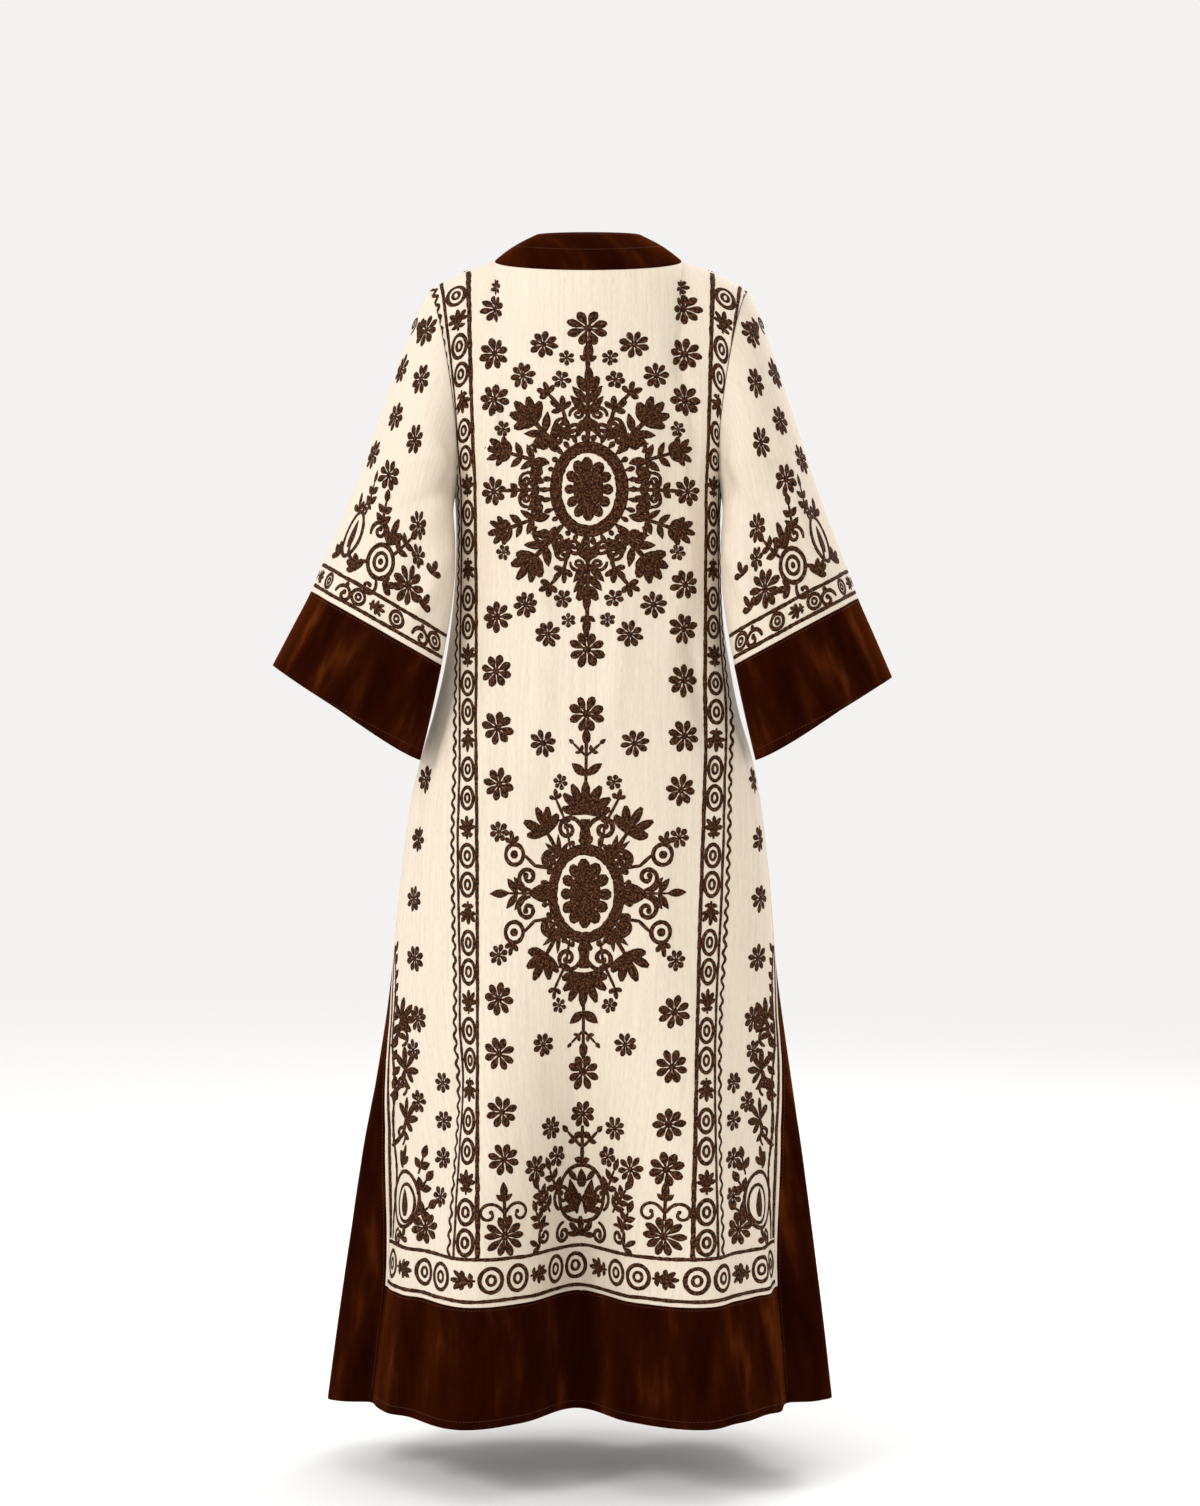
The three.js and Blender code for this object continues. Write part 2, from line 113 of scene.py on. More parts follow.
# Smaller creases below the arms: angle, spread, rise, top, bottom, drift. One that ends at the hem
# stays open there.
BODY_CREASES = (
    (47, 4.0, 8.0, -1080, HEM_Z, 3),
    (12, 3.2, 7.0, -1130, HEM_Z, -2),
    (-9, 3.0, 6.0, -1060, HEM_Z, 2),
    (-36, 3.6, -8.0, -1040, HEM_Z, -3),
    (-48, 3.2, 8.0, -1150, HEM_Z, 2),
    (31, 4.2, -6.5, -900, -1250, 4),
    (-18, 5.0, 6.0, -640, -1000, -6),
    (16, 5.5, -6.0, -560, -900, 5),
    (40, 6.0, 6.0, -420, -760, 4),
    (-44, 5.5, -6.0, -400, -700, -5),
    (-66, 5.0, 5.0, -470, -860, 3),
    (66, 5.0, -5.0, -480, -880, -4),
    (76, 4.0, 6.0, -960, HEM_Z, 2),
    (88, 4.5, -6.5, -900, HEM_Z, -3),
    (101, 3.6, 5.5, -1010, HEM_Z, 2),
    (-77, 4.5, 6.5, -930, HEM_Z, -2),
    (-90, 4.0, -6.0, -980, HEM_Z, 3),
    (-102, 3.8, 5.0, -940, HEM_Z, -2),
    (124, 4.5, 5.5, -1000, HEM_Z, 3),
    (147, 4.0, -5.0, -1080, HEM_Z, -2),
    (-125, 4.2, -5.0, -1020, HEM_Z, -3),
    (-149, 4.6, 5.5, -900, HEM_Z, 2),
    (128, 6.0, -3.6, -420, -820, 4),
    (-134, 6.5, 3.4, -460, -880, -4),
)

# Creases of the upper back and fronts, in the cloth's own measure:
# across and height of both ends, spread, rise
YOKE_CREASES = {
    "back": (
        (98, -95, 112, -262, 13, -3.0),
        (124, -120, 142, -300, 8, 4.6),
        (-70, -160, -52, -470, 19, 4.0),
        (-112, -110, -138, -290, 9, -4.6),
        (36, -210, 58, -520, 19, -4.0),
        (-14, -330, -30, -610, 14, 4.6),
        (86, -300, 62, -640, 14, 4.8),
        (-128, -300, -98, -520, 14, 3.4),
    ),
    "front": (
        (118, -120, 140, -280, 9, -2.8),
        (92, -150, 112, -420, 14, 2.6),
        (132, -300, 104, -560, 13, -2.6),
    ),
}

# Side seams as angles from the centre back: height, back seam, front seam
SIDE_SEAMS = (
    (-290, 90, 90),
    (-700, 95, 95),
    (-830, 91, 100),
    (-897, 84, 103),
    (-965, 76, 106),
    (-1105, 67, 110),
    (-1240, 62, 113),
    (-1303, 60, 114),
    (-1450, 58.5, 116),
)

# Sleeve rings from the armhole to the cuff's hem
RING_COLUMNS = ("out_x", "out_z", "in_x", "in_y", "in_z", "back", "front", "draw", "lean")
SLEEVE_RINGS = (
    (205, -38, 170, 0, -290, 88, 78, 19, 0),
    (222, -75, 173, 16, -320, 88, 84, 12, 8),
    (239, -124, 170, 32, -355, 88, 92, 6, 18),
    (261, -188, 169, 45, -392, 87, 98, 2, 26),
    (283, -252, 171, 54, -428, 86, 104, 0, 30),
    (305, -313, 175, 60, -462, 86, 108, 0, 32),
    (328, -368, 180, 64, -492, 86, 111, 0, 32),
    (352, -427, 185, 66, -519, 86, 113, 0, 32),
    (376, -476, 198, 66, -580, 86, 113, 0, 30),
    (400, -525, 212, 64, -639, 86, 112, 0, 28),
)
CUFF_TOP_RING = 7
LAST_RING = 9
RING_TOP_DROP = 24
RING_BOTTOM_RISE = 30
RING_LOWER_BOW = 0.9
SWING = {1: (4, 7), -1: (-11, -8)}

# Sleeve creases: place round the ring (0 outer edge, 1 underarm, negative in front) and ring, at both
# ends, then spread round the ring and rise
SLEEVE_CREASES = (
    (0.84, 0.6, 0.42, 4.2, 0.050, -7.6),
    (0.72, 0.8, 0.30, 3.6, 0.045, 5.6),
    (0.88, 2.2, 0.58, 7.2, 0.060, 5.4),
    (0.66, 3.4, 0.46, 8.8, 0.060, -6.0),
    (0.28, 2.6, 0.20, 8.4, 0.070, 5.2),
    (-0.82, 0.7, -0.46, 4.6, 0.050, -7.0),
    (-0.70, 1.4, -0.34, 5.2, 0.050, 5.6),
    (-0.86, 2.6, -0.60, 8.2, 0.060, 6.0),
    (-0.40, 3.8, -0.30, 8.8, 0.060, -5.2),
)

# Curves of the upper back, collar seam and roll line, as offsets from their ends
BACK_CURVE = ((0, 28, -68), (0, 12, 90))
NECK_SIDE_START = (0, 78, -30)
FRONT_SEAM_CURVE = ((-4, -52, -22), (26, -7, 105))
FRONT_ROLL_CURVE = ((-2, -52, -14), (27, -7, 110))

# Cloth walls: reach inside and outside the sewn surface
CREPE_WALL = (-0.6, 0.9)
VELVET_WALL = (-1.2, 1.1)
COLLAR_WALL = (-1.2, 1.8)
CLOTH_STEP = 6.0


def body_measure(name, z):
    """One measure of the body's level sections, smooth from section to section."""
    rows = np.array(BODY_SECTIONS, float)
    return hermite(rows[:, BODY_COLUMNS.index("z")], rows[:, BODY_COLUMNS.index(name)], z)


def hermite(keys, values, at):
    """A smooth curve through values at keys, which run in either direction."""
    at = np.asarray(at, float)
    if keys[0] > keys[-1]:
        keys, values = keys[::-1], values[::-1]
    last = len(keys) - 1
    low = np.clip(np.searchsorted(keys, at, side="right") - 1, 0, last - 1)
    slopes = np.empty(len(keys))
    slopes[1:-1] = (values[2:] - values[:-2]) / (keys[2:] - keys[:-2])
    slopes[0] = (values[1] - values[0]) / (keys[1] - keys[0])
    slopes[-1] = (values[-1] - values[-2]) / (keys[-1] - keys[-2])
    span = keys[low + 1] - keys[low]
    t = np.clip((at - keys[low]) / span, 0, 1)
    t2, t3 = t * t, t * t * t
    start = (2 * t3 - 3 * t2 + 1) * values[low] + (t3 - 2 * t2 + t) * slopes[low] * span
    end = (3 * t2 - 2 * t3) * values[low + 1] + (t3 - t2) * slopes[low + 1] * span
    return start + end


def side_seam(face, z):
    """The angle of the back (1) or front (2) side seam at a height."""
    keys = [row[0] for row in SIDE_SEAMS][::-1]
    return np.interp(z, keys, [row[face] for row in SIDE_SEAMS][::-1])


def smoothstep(value):
    value = np.clip(value, 0, 1)
    return value * value * (3 - 2 * value)


def fold_rise(angle, z):
    rise = np.zeros(np.broadcast(angle, z).shape)
    for at, spread, full, start in FOLDS:
        growth = smoothstep((start - z) / (start - FULL_FOLD_Z))
        rise += full * growth * np.exp(-(((angle - at) / spread) ** 2))
    for at, spread, full, top, bottom, drift in BODY_CREASES:
        along = (top - z) / (top - bottom)
        growth = smoothstep(along / 0.4)
        if bottom > HEM_Z:
            growth = growth * smoothstep((1 - along) / 0.4)
        centre = at + drift * np.sin(2.6 * along + at)
        rise += full * growth * np.exp(-(((angle - centre) / spread) ** 2))
    return rise


def points(x, y, z):
    return np.stack(np.broadcast_arrays(x, y, z), axis=-1).astype(float)


def body_point(angle, z):
    """A point of the cloth below the arms, at an angle from the centre back and a height."""
    angle, z = np.broadcast_arrays(np.asarray(angle, float), np.asarray(z, float))
    turn = np.radians(angle)
    half = body_measure("half", z)
    depth = np.where(np.cos(turn) > 0, body_measure("back", z), body_measure("front", z))
    centre = body_measure("centre", z)
    out_x, out_y = np.sin(turn) / half, np.cos(turn) / depth
    length = np.hypot(out_x, out_y)
    rise = fold_rise(angle, z)
    x = centre + half * np.sin(turn) + rise * out_x / length
    y = depth * np.cos(turn) + rise * out_y / length
    return points(x, y, z)


def front_angle(distance, z):
    return 180 - np.degrees(np.arcsin(distance / body_measure("half", z)))


def bezier(a, b, c, d, t):
    t = np.asarray(t, float)[..., None]
    s = 1 - t
    return s**3 * a + 3 * s**2 * t * b + 3 * s * t**2 * c + t**3 * d


def ring_controls(side, ring, face):
    """The four control points of the back (1) or front (-1) half of a sleeve ring."""
    keys = np.arange(LAST_RING + 1)
    value = {name: hermite(keys, np.array([row[i] for row in SLEEVE_RINGS], float), ring)
             for i, name in enumerate(RING_COLUMNS)}
    down = (np.asarray(ring) / LAST_RING) ** 2
    out = points(value["out_x"] + SWING[side][0] * down, 0, value["out_z"] + SWING[side][1] * down)
    inner = points(value["in_x"], value["in_y"], value["in_z"])
    along = inner - out
    along /= np.linalg.norm(along, axis=-1, keepdims=True)
    bow = value["back"] if face > 0 else -value["front"]
    lean = 0 if face > 0 else value["lean"]
    start = out + along * RING_TOP_DROP + points(-value["draw"], bow, 0)
    end = inner - along * RING_BOTTOM_RISE + points(lean - value["draw"], bow * RING_LOWER_BOW, 0)
    controls = []
    for corner in (out, start, end, inner):
        controls.append(corner * (side, 1, 1) + (TOP_CENTRE_X, 0, 0))
    return controls


def shoulder_point(side, share):
    x = NECK_SIDE_X + (SHOULDER_TIP_X - NECK_SIDE_X) * share
    z = SHOULDER_TIP_Z * share + SHOULDER_ROUNDING * math.sin(math.pi * share)
    return np.array([side * x + TOP_CENTRE_X, 0, z])


def neckline_point(side, share):
    turn = math.pi / 2 * share
    x = side * NECK_SIDE_X * math.sin(turn) + TOP_CENTRE_X
    return np.array([x, NECK_BACK_Y * math.cos(turn), NECK_BACK_Z * math.cos(turn)])


def roll_point(side, share):
    turn = math.pi / 2 * share
    z = ROLL_SIDE_Z + (ROLL_BACK_Z - ROLL_SIDE_Z) * math.cos(turn)
    return np.array([side * ROLL_SIDE_X * math.sin(turn) + TOP_CENTRE_X, ROLL_BACK_Y * math.cos(turn), z])


def arm_offsets(side, face):
    a, b, c, d = ring_controls(side, 0, face)
    return b - a, c - d


def sided(offset, side):
    return np.array(offset, float) * (side, 1, 1)


def upper_back_column(column, t):
    side = -1 if column < 0 else 1
    steps = abs(column)
    over_arm = max(0.0, (steps - NECK_COLUMNS) / SHOULDER_COLUMNS)
    top = shoulder_point(side, over_arm) if over_arm else neckline_point(side, steps / NECK_COLUMNS)
    share = steps / BACK_COLUMNS
    bottom = body_point(90 * side * share, UNDERARM_Z)
    arm_start, arm_end = arm_offsets(side, 1)
    shoulder_start = sided(NECK_SIDE_START, side) * (1 - over_arm) + arm_start * over_arm
    forward = 1 - top[1] / NECK_BACK_Y
    start = sided(BACK_CURVE[0], side) * (1 - forward) + shoulder_start * forward
    end = sided(BACK_CURVE[1], side) * (1 - share**3) + arm_end * share**3
    return bezier(top, top + start, bottom + end, bottom, t)


def upper_front_column(side, share, t):
    seam_angle = front_angle(FRONT_BAND_WIDTH, UNDERARM_Z)
    bottom = body_point(side * (seam_angle + (90 - seam_angle) * share), UNDERARM_Z)
    top = shoulder_point(side, share)
    arm_start, arm_end = arm_offsets(side, -1)
    weight = share**2
    start = sided(FRONT_SEAM_CURVE[0], side) * (1 - weight) + arm_start * weight
    end = sided(FRONT_SEAM_CURVE[1], side) * (1 - weight) + arm_end * weight
    return bezier(top, top + start, bottom + end, bottom, t)


# Fine grids, whose rows and columns meet at the seams
YOKE_STEPS = 50
SKIRT_STEPS = 170
HEM_STEPS = 25
SHARE_OF_COLUMN = 3
SEAM_STEPS = 60
BAND_STEPS = 12
GORE_STEPS = 36
CUFF_STEPS = 26
SLEEVE_STEPS = 78
SKIRT_Z = np.linspace(UNDERARM_Z, BAND_TOP_Z, SKIRT_STEPS)
HEM_Z_ROWS = np.linspace(BAND_TOP_Z, HEM_Z, HEM_STEPS)


def lerp(a, b, share):
    return a + (b - a) * share


def crease_field(across, height, creases):
    """How far straight creases lift the cloth, from the cloth's own measure."""
    lift = np.zeros(across.shape)
    for s0, h0, s1, h1, spread, rise in creases:
        length = math.hypot(s1 - s0, h1 - h0)
        ds, dh = (s1 - s0) / length, (h1 - h0) / length
        along = ((across - s0) * ds + (height - h0) * dh) / length
        aside = (across - s0) * dh - (height - h0) * ds
        bow = 0.06 * length * np.sin(np.pi * np.clip(along, 0, 1))
        ends = smoothstep((along + 0.1) / 0.35) * smoothstep((1.1 - along) / 0.35)
        lift += rise * ends * np.exp(-(((aside - bow) / spread) ** 2))
    return lift


def run_length(grid, axis):
    """Distance along the cloth from the first row or column."""
    steps = np.linalg.norm(np.diff(grid, axis=axis), axis=-1)
    pad = [(1, 0), (0, 0)] if axis == 0 else [(0, 0), (1, 0)]
    return np.pad(np.cumsum(steps, axis=axis), pad)


def grid_normals(grid, sign):
    down, along = np.gradient(grid, axis=0), np.gradient(grid, axis=1)
    normal = np.cross(along, down) * sign
    return normal / np.maximum(np.linalg.norm(normal, axis=-1, keepdims=True), 1e-9)


class Piece:
    """One cut piece of cloth: its grid, its wall, and where each point lies on the flat cloth."""

    def __init__(self, name, grid, wall, across, height, tube=False, sign=1):
        self.name, self.grid, self.wall, self.tube, self.sign = name, grid, wall, tube, sign
        self.across, self.height = across, height
        self.normals = grid_normals(grid, sign)

    def crease(self, lift):
        self.grid = self.grid + self.normals * lift[..., None]
        self.normals = grid_normals(self.grid, self.sign)


def panel(name, upper, lower, zero_column):
    """A crepe panel from its yoke and skirt grids, measured across from one column."""
    grid = np.concatenate([upper, lower])
    across = run_length(grid, 1)
    across = across - across[:, [zero_column]]
    down = run_length(grid, 0)
    height = UNDERARM_Z - (down - down[YOKE_STEPS])
    height[YOKE_STEPS:] = SKIRT_Z[:, None]
    return Piece(name, grid, CREPE_WALL, across, height)


def yoke_steps():
    return np.arange(YOKE_STEPS) / YOKE_STEPS


def back_panel():
    columns = np.linspace(-BACK_COLUMNS, BACK_COLUMNS, 2 * BACK_COLUMNS * SHARE_OF_COLUMN + 1)
    upper = np.stack([upper_back_column(column, yoke_steps()) for column in columns], axis=1)
    seam = side_seam(1, SKIRT_Z)[:, None]
    lower = body_point(seam * columns / BACK_COLUMNS, SKIRT_Z[:, None])
    piece = panel("back_panel", upper, lower, len(columns) // 2)
    inner = smoothstep((1 - np.abs(columns) / BACK_COLUMNS) / 0.12)
    piece.crease(crease_field(piece.across, piece.height, YOKE_CREASES["back"]) * inner)
    return piece


def front_angles(side, share, z):
    seam = front_angle(FRONT_BAND_WIDTH, z)
    return side * lerp(seam, side_seam(2, z), share)


def shares(side, steps):
    """Shares from 0 to 1, in the order in which the columns run round the body."""
    order = np.linspace(0, 1, steps + 1)
    return order[::-1] if side > 0 else order


def front_panel(label, side):
    order = shares(side, SEAM_STEPS)
    upper = np.stack([upper_front_column(side, share, yoke_steps()) for share in order], axis=1)
    lower = body_point(front_angles(side, order, SKIRT_Z[:, None]), SKIRT_Z[:, None])
    piece = panel(f"front_panel_{label}", upper, lower, -1 if side > 0 else 0)
    piece.across = np.abs(piece.across)
    inner = smoothstep((1 - order) / 0.12) * smoothstep(order / 0.12)
    piece.crease(crease_field(piece.across, piece.height, YOKE_CREASES["front"]) * inner)
    return piece


def trim(name, grid, wall, **facts):
    across = run_length(grid, 1)
    return Piece(name, grid, wall, across, -run_length(grid, 0), **facts)


def hem_band_back():
    columns = np.linspace(-1, 1, 2 * BACK_COLUMNS * SHARE_OF_COLUMN + 1)
    z = HEM_Z_ROWS[:, None]
    return trim("hem_band_back", body_point(side_seam(1, z) * columns, z), VELVET_WALL)


def hem_band_front(label, side):
    z = HEM_Z_ROWS[:, None]
    grid = body_point(front_angles(side, shares(side, SEAM_STEPS), z), z)
    return trim(f"hem_band_front_{label}", grid, VELVET_WALL)


def side_gore(label, side):
    heights = np.concatenate([[GORE_TOP_Z], SKIRT_Z[SKIRT_Z < GORE_TOP_Z - 2], HEM_Z_ROWS[1:]])[:, None]
    order = shares(-side, GORE_STEPS)
    grid = body_point(side * lerp(side_seam(1, heights), side_seam(2, heights), order), heights)
    return trim(f"side_gore_{label}", grid, VELVET_WALL)


def band_point(side, share, z):
    free = front_angle(FRONT_GAP / 2, z)
    return body_point(side * lerp(free, front_angle(FRONT_BAND_WIDTH, z), share), z)


def front_band(label, side):
    heights = np.concatenate([SKIRT_Z, HEM_Z_ROWS[1:]])[:, None]
    grid = band_point(side, shares(side, BAND_STEPS), heights)
    return trim(f"front_band_{label}", grid, VELVET_WALL)


def collar_station(side, steps, rows):
    """One line across the collar, from its roll line to its seam."""
    lift = (COLLAR_CROWN * np.sin(np.pi * rows))[:, None]
    neck_steps = NECK_COLUMNS * SHARE_OF_COLUMN
    if steps <= neck_steps:
        part = steps / neck_steps
        line = lerp(roll_point(side, part), neckline_point(side, part), rows[:, None])
        turn = math.pi / 2 * part
        outward = np.array([side * math.sin(turn), math.cos(turn), 1]) * math.sqrt(0.5)
        return line + lift * outward
    down = (steps - neck_steps) / YOKE_STEPS
    if steps == neck_steps + YOKE_STEPS:
        return band_point(side, rows, np.array(UNDERARM_Z))
    roll_top, bottom = roll_point(side, 1), band_point(side, 0, UNDERARM_Z)
    start, end = (sided(offset, side) for offset in FRONT_ROLL_CURVE)
    roll = bezier(roll_top, roll_top + start, bottom + end, bottom, down)
    line = lerp(roll, upper_front_column(side, 0, down), rows[:, None])
    outward = np.array([side * (1 - down), -down, max(0, 1 - 2 * down)])
    outward /= np.linalg.norm(outward)
    return line + lift * outward * (1 - 0.6 * down)


def collar():
    rows = np.linspace(0, 1, BAND_STEPS + 1)
    reach = NECK_COLUMNS * SHARE_OF_COLUMN + YOKE_STEPS
    stations = range(-reach, reach + 1)
    grid = np.stack([collar_station(-1 if k < 0 else 1, abs(k), rows) for k in stations], axis=1)
    return trim("collar", grid, COLLAR_WALL)


def arm_grid(side, rings):
    """Rings of a sleeve laid open: from the underarm, round the front, over the top and back again."""
    around = np.arange(-YOKE_STEPS, YOKE_STEPS + 1) / YOKE_STEPS
    halves = []
    for face, part in ((-1, around[around < 0]), (1, around[around >= 0])):
        controls = ring_controls(side, rings[:, None], face)
        halves.append(bezier(*controls, np.broadcast_to(np.abs(part), (len(rings), len(part)))))
    return around, np.concatenate(halves, axis=1)


def sleeve_pieces(label, side):
    """A sleeve and its cuff, creased together so that they still meet."""
    rings = np.concatenate([np.linspace(0, CUFF_TOP_RING, SLEEVE_STEPS + 1),
                            np.linspace(CUFF_TOP_RING, LAST_RING, CUFF_STEPS + 1)[1:]])
    around, grid = arm_grid(side, rings)
    whole = Piece("sleeve", grid, CREPE_WALL, None, None, sign=-side)
    lift = np.zeros(grid.shape[:2])
    ring = rings[:, None]
    for w0, r0, w1, r1, spread, rise in SLEEVE_CREASES:
        along = (ring - r0) / (r1 - r0)
        ends = smoothstep((along + 0.05) / 0.3) * smoothstep((1.05 - along) / 0.3)
        centre = lerp(w0, w1, along) + 0.04 * np.sin(np.pi * np.clip(along, 0, 1))
        lift += rise * ends * np.exp(-(((around - centre) / spread) ** 2))
    whole.crease(lift * smoothstep(ring / 0.8))
    grid = whole.grid
    across = run_length(grid, 1)
    across = across - across[:, [YOKE_STEPS]]
    down = run_length(grid, 0)
    height = down[SLEEVE_STEPS] - down
    cut = SLEEVE_STEPS
    facts = {"tube": True, "sign": -side}
    return (
        Piece(f"sleeve_{label}", grid[:cut + 1], CREPE_WALL, across[:cut + 1], height[:cut + 1], **facts),
        Piece(f"cuff_{label}", grid[cut:], VELVET_WALL, across[cut:], height[cut:], **facts),
    )


def share_seam_normals(pieces):
    """Turns the walls of all pieces that meet at a seam the same way, so that their edges are mitred."""
    sums = {}
    borders = []
    for piece in pieces:
        rows, columns = piece.grid.shape[:2]
        edge = np.zeros((rows, columns), bool)
        edge[[0, -1]] = True
        edge[:, [0, -1]] = True
        where = np.argwhere(edge)
        keys = [tuple(key) for key in np.round(piece.grid[edge] * 10).astype(int)]
        for key, (row, column) in zip(keys, where):
            sums[key] = sums.get(key, 0) + piece.normals[row, column]
        borders.append((piece, where, keys))
    for piece, where, keys in borders:
        for key, (row, column) in zip(keys, where):
            total = sums[key]
            piece.normals[row, column] = total / max(np.linalg.norm(total), 1e-9)
        if piece.name.startswith("front_panel"):
            top = piece.normals[0]
            top[1::2] = (top[:-2:2] + top[2::2]) / 2


def cut_pieces():
    pieces = [back_panel(), hem_band_back(), collar()]
    for label, side in (("left", 1), ("right", -1)):
        pieces += [front_panel(label, side), hem_band_front(label, side), side_gore(label, side)]
        pieces += [front_band(label, side), *sleeve_pieces(label, side)]
    share_seam_normals(pieces)
    return {piece.name: piece for piece in pieces}


PIECES = cut_pieces()


# Making the cloth shells
EDGE_ROUNDING = (0.28, 0.78)
EDGE_STEPS = (0.0, 0.5, 1.5)


def edge_places(count):
    """Row places with extra rows beside both borders, and how full the wall is at each."""
    inset = bpy.context.scene.abaya_sewing.seam_gap / MM / 2
    start = [(inset + step) / CLOTH_STEP for step in EDGE_STEPS]
    places = start + list(range(1, count - 1)) + [count - 1 - place for place in start[::-1]]
    fullness = [*EDGE_ROUNDING, 1.0] + [1.0] * (count - 2) + [1.0, *EDGE_ROUNDING[::-1]]
    return np.array(places), np.array(fullness)


def take(values, places, axis):
    low = np.clip(np.floor(places).astype(int), 0, values.shape[axis] - 2)
    share = places - low
    shape = [1] * values.ndim
    shape[axis] = -1
    share = share.reshape(shape)
    return np.take(values, low, axis) * (1 - share) + np.take(values, low + 1, axis) * share


def shell_arrays(piece):
    """The outer and inner skins of a piece, the faces of its closed wall and its cloth coordinates."""
    row_places, row_full = edge_places(piece.grid.shape[0])
    grid, normals, across, height = piece.grid, piece.normals, piece.across, piece.height
    fields = [take(field, row_places, 0) for field in (grid, normals, across, height)]
    fullness = row_full[:, None] * np.ones((1, fields[2].shape[1]))
    if not piece.tube:
        column_places, column_full = edge_places(piece.grid.shape[1])
        fields = [take(field, column_places, 1) for field in fields]
        fullness = np.minimum(row_full[:, None], column_full[None, :])
    grid, normals, across, height = fields
    middle = (piece.wall[0] + piece.wall[1]) / 2
    half = (piece.wall[1] - piece.wall[0]) / 2
    outer = grid + normals * (middle + half * fullness)[..., None]
    inner = grid + normals * (middle - half * fullness)[..., None]
    return outer, inner, np.stack([across, height], axis=-1)


def shell_faces(rows, columns, tube, sign):
    index = np.arange(rows * columns).reshape(rows, columns)
    a, b, c, d = index[:-1, :-1], index[:-1, 1:], index[1:, 1:], index[1:, :-1]
    skin = rows * columns
    quads = [np.stack([a, b, c, d], -1).reshape(-1, 4), np.stack([d, c, b, a], -1).reshape(-1, 4) + skin]

    def rim(first, second):
        quads.append(np.stack([second, first, first + skin, second + skin], -1))

    rim(index[0, :-1], index[0, 1:])
    rim(index[-1, 1:], index[-1, :-1])
    if not tube:
        rim(index[1:, 0], index[:-1, 0])
        rim(index[:-1, -1], index[1:, -1])
    faces = np.concatenate(quads)
    return faces if sign > 0 else faces[:, ::-1]


def add_mesh(name, vertices, faces, uv):
    """A new object at the origin, from points in millimetres and a flat-cloth map for each corner."""
    mesh = bpy.data.meshes.new(name)
    mesh.from_pydata((np.asarray(vertices) * MM).tolist(), [], faces)
    layer = mesh.uv_layers.new(name="cloth")
    layer.data.foreach_set("uv", (uv * MM).astype(np.float32).ravel())
    mesh.polygons.foreach_set("use_smooth", np.ones(len(mesh.polygons), bool))
    piece = bpy.data.objects.new(name, mesh)
    bpy.context.scene.collection.objects.link(piece)
    return piece


def sew_shell(name, material):
    piece = PIECES[name]
    outer, inner, uv = shell_arrays(piece)
    rows, columns = outer.shape[:2]
    corners = shell_faces(rows, columns, piece.tube, piece.sign)
    flat = np.concatenate([uv.reshape(-1, 2)] * 2)[corners]
    faces = corners
    if piece.tube:
        outer, inner = outer[:, :-1], inner[:, :-1]
        row, column = np.divmod(corners, columns)
        faces = row * (columns - 1) + column % (columns - 1)
    vertices = np.concatenate([outer.reshape(-1, 3), inner.reshape(-1, 3)])
    shell = add_mesh(f"{name}_cloth", vertices, faces.tolist(), flat)
    shell.data.materials.append(material)
    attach(shell, "root")
    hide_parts(name)
    return shell


# Materials
class Nodes:
    """A short way to add and join shader nodes."""

    def __init__(self, name):
        self.material = bpy.data.materials.new(name)
        self.material.use_nodes = True
        self.tree = self.material.node_tree
        self.shader = self.tree.nodes["Principled BSDF"]

    def add(self, kind, links=(), **values):
        node = self.tree.nodes.new(kind)
        for key, value in values.items():
            setattr(node, key, value)
        for socket, source in dict(links).items():
            self.feed(node.inputs[socket], source)
        return node

    def feed(self, socket, source):
        if isinstance(source, bpy.types.NodeSocket):
            self.tree.links.new(source, socket)
        else:
            socket.default_value = source

    def math(self, operation, first, second=0.0):
        node = self.add("ShaderNodeMath", operation=operation)
        self.feed(node.inputs[0], first)
        self.feed(node.inputs[1], second)
        return node.outputs[0]

    def noise(self, vector, scale, detail=2.0, roughness=0.5):
        links = {"Vector": vector, "Scale": scale, "Detail": detail, "Roughness": roughness}
        return self.add("ShaderNodeTexNoise", links).outputs["Fac"]

    def stretched(self, vector, scale):
        links = {0: vector, 1: scale}
        return self.add("ShaderNodeVectorMath", links, operation="MULTIPLY").outputs[0]

    def ramp(self, value, *stops):
        node = self.add("ShaderNodeValToRGB", {"Fac": value})
        elements = node.color_ramp.elements
        while len(elements) < len(stops):
            elements.new(0.5)
        for element, (position, colour) in zip(elements, stops):
            element.position = position
            element.color = (*colour, 1)
        return node.outputs["Color"]

    def bump(self, height, distance, strength=1.0):
        links = {"Height": height, "Distance": distance, "Strength": strength}
        self.tree.links.new(self.add("ShaderNodeBump", links).outputs[0], self.shader.inputs["Normal"])

    def set(self, **values):
        for name, value in values.items():
            self.feed(self.shader.inputs[SHADER_SOCKETS.get(name, name.replace("_", " "))], value)

    def cloth_map(self):
        return self.add("ShaderNodeUVMap", uv_map="cloth").outputs[0]


SHADER_SOCKETS = {"Specular": "Specular IOR Level"}
CREPE_COLOUR = (0.765, 0.668, 0.55)
# Velvet rust of the lit pile: a painted highlight colour, laid in streaks over the velvet's dark base
VELVET_HIGHLIGHT = (0.115, 0.0245, 0.0040)
THREAD_COLOUR = (0.014, 0.0038, 0.0014)
FLECK_COLOUR = (0.17, 0.070, 0.029)
CREPE_SEWING = (0.70, 0.60, 0.47)
VELVET_SEWING = (0.075, 0.024, 0.009)

# The darker tones of each cloth, as shares of its colour; the velvet's colour is the painted highlight of its
# lit pile, and its deep tone is the cloth's own dark base
CREPE_SHADE = (0.83, 0.80, 0.764)
VELVET_DEEP = (0.10, 0.068, 0.10)
VELVET_MIDDLE = (0.20, 0.15, 0.175)
VELVET_SHEEN = (2.6, 2.7, 2.8)


def shade(colour, share):
    return tuple(part * amount for part, amount in zip(colour, share))


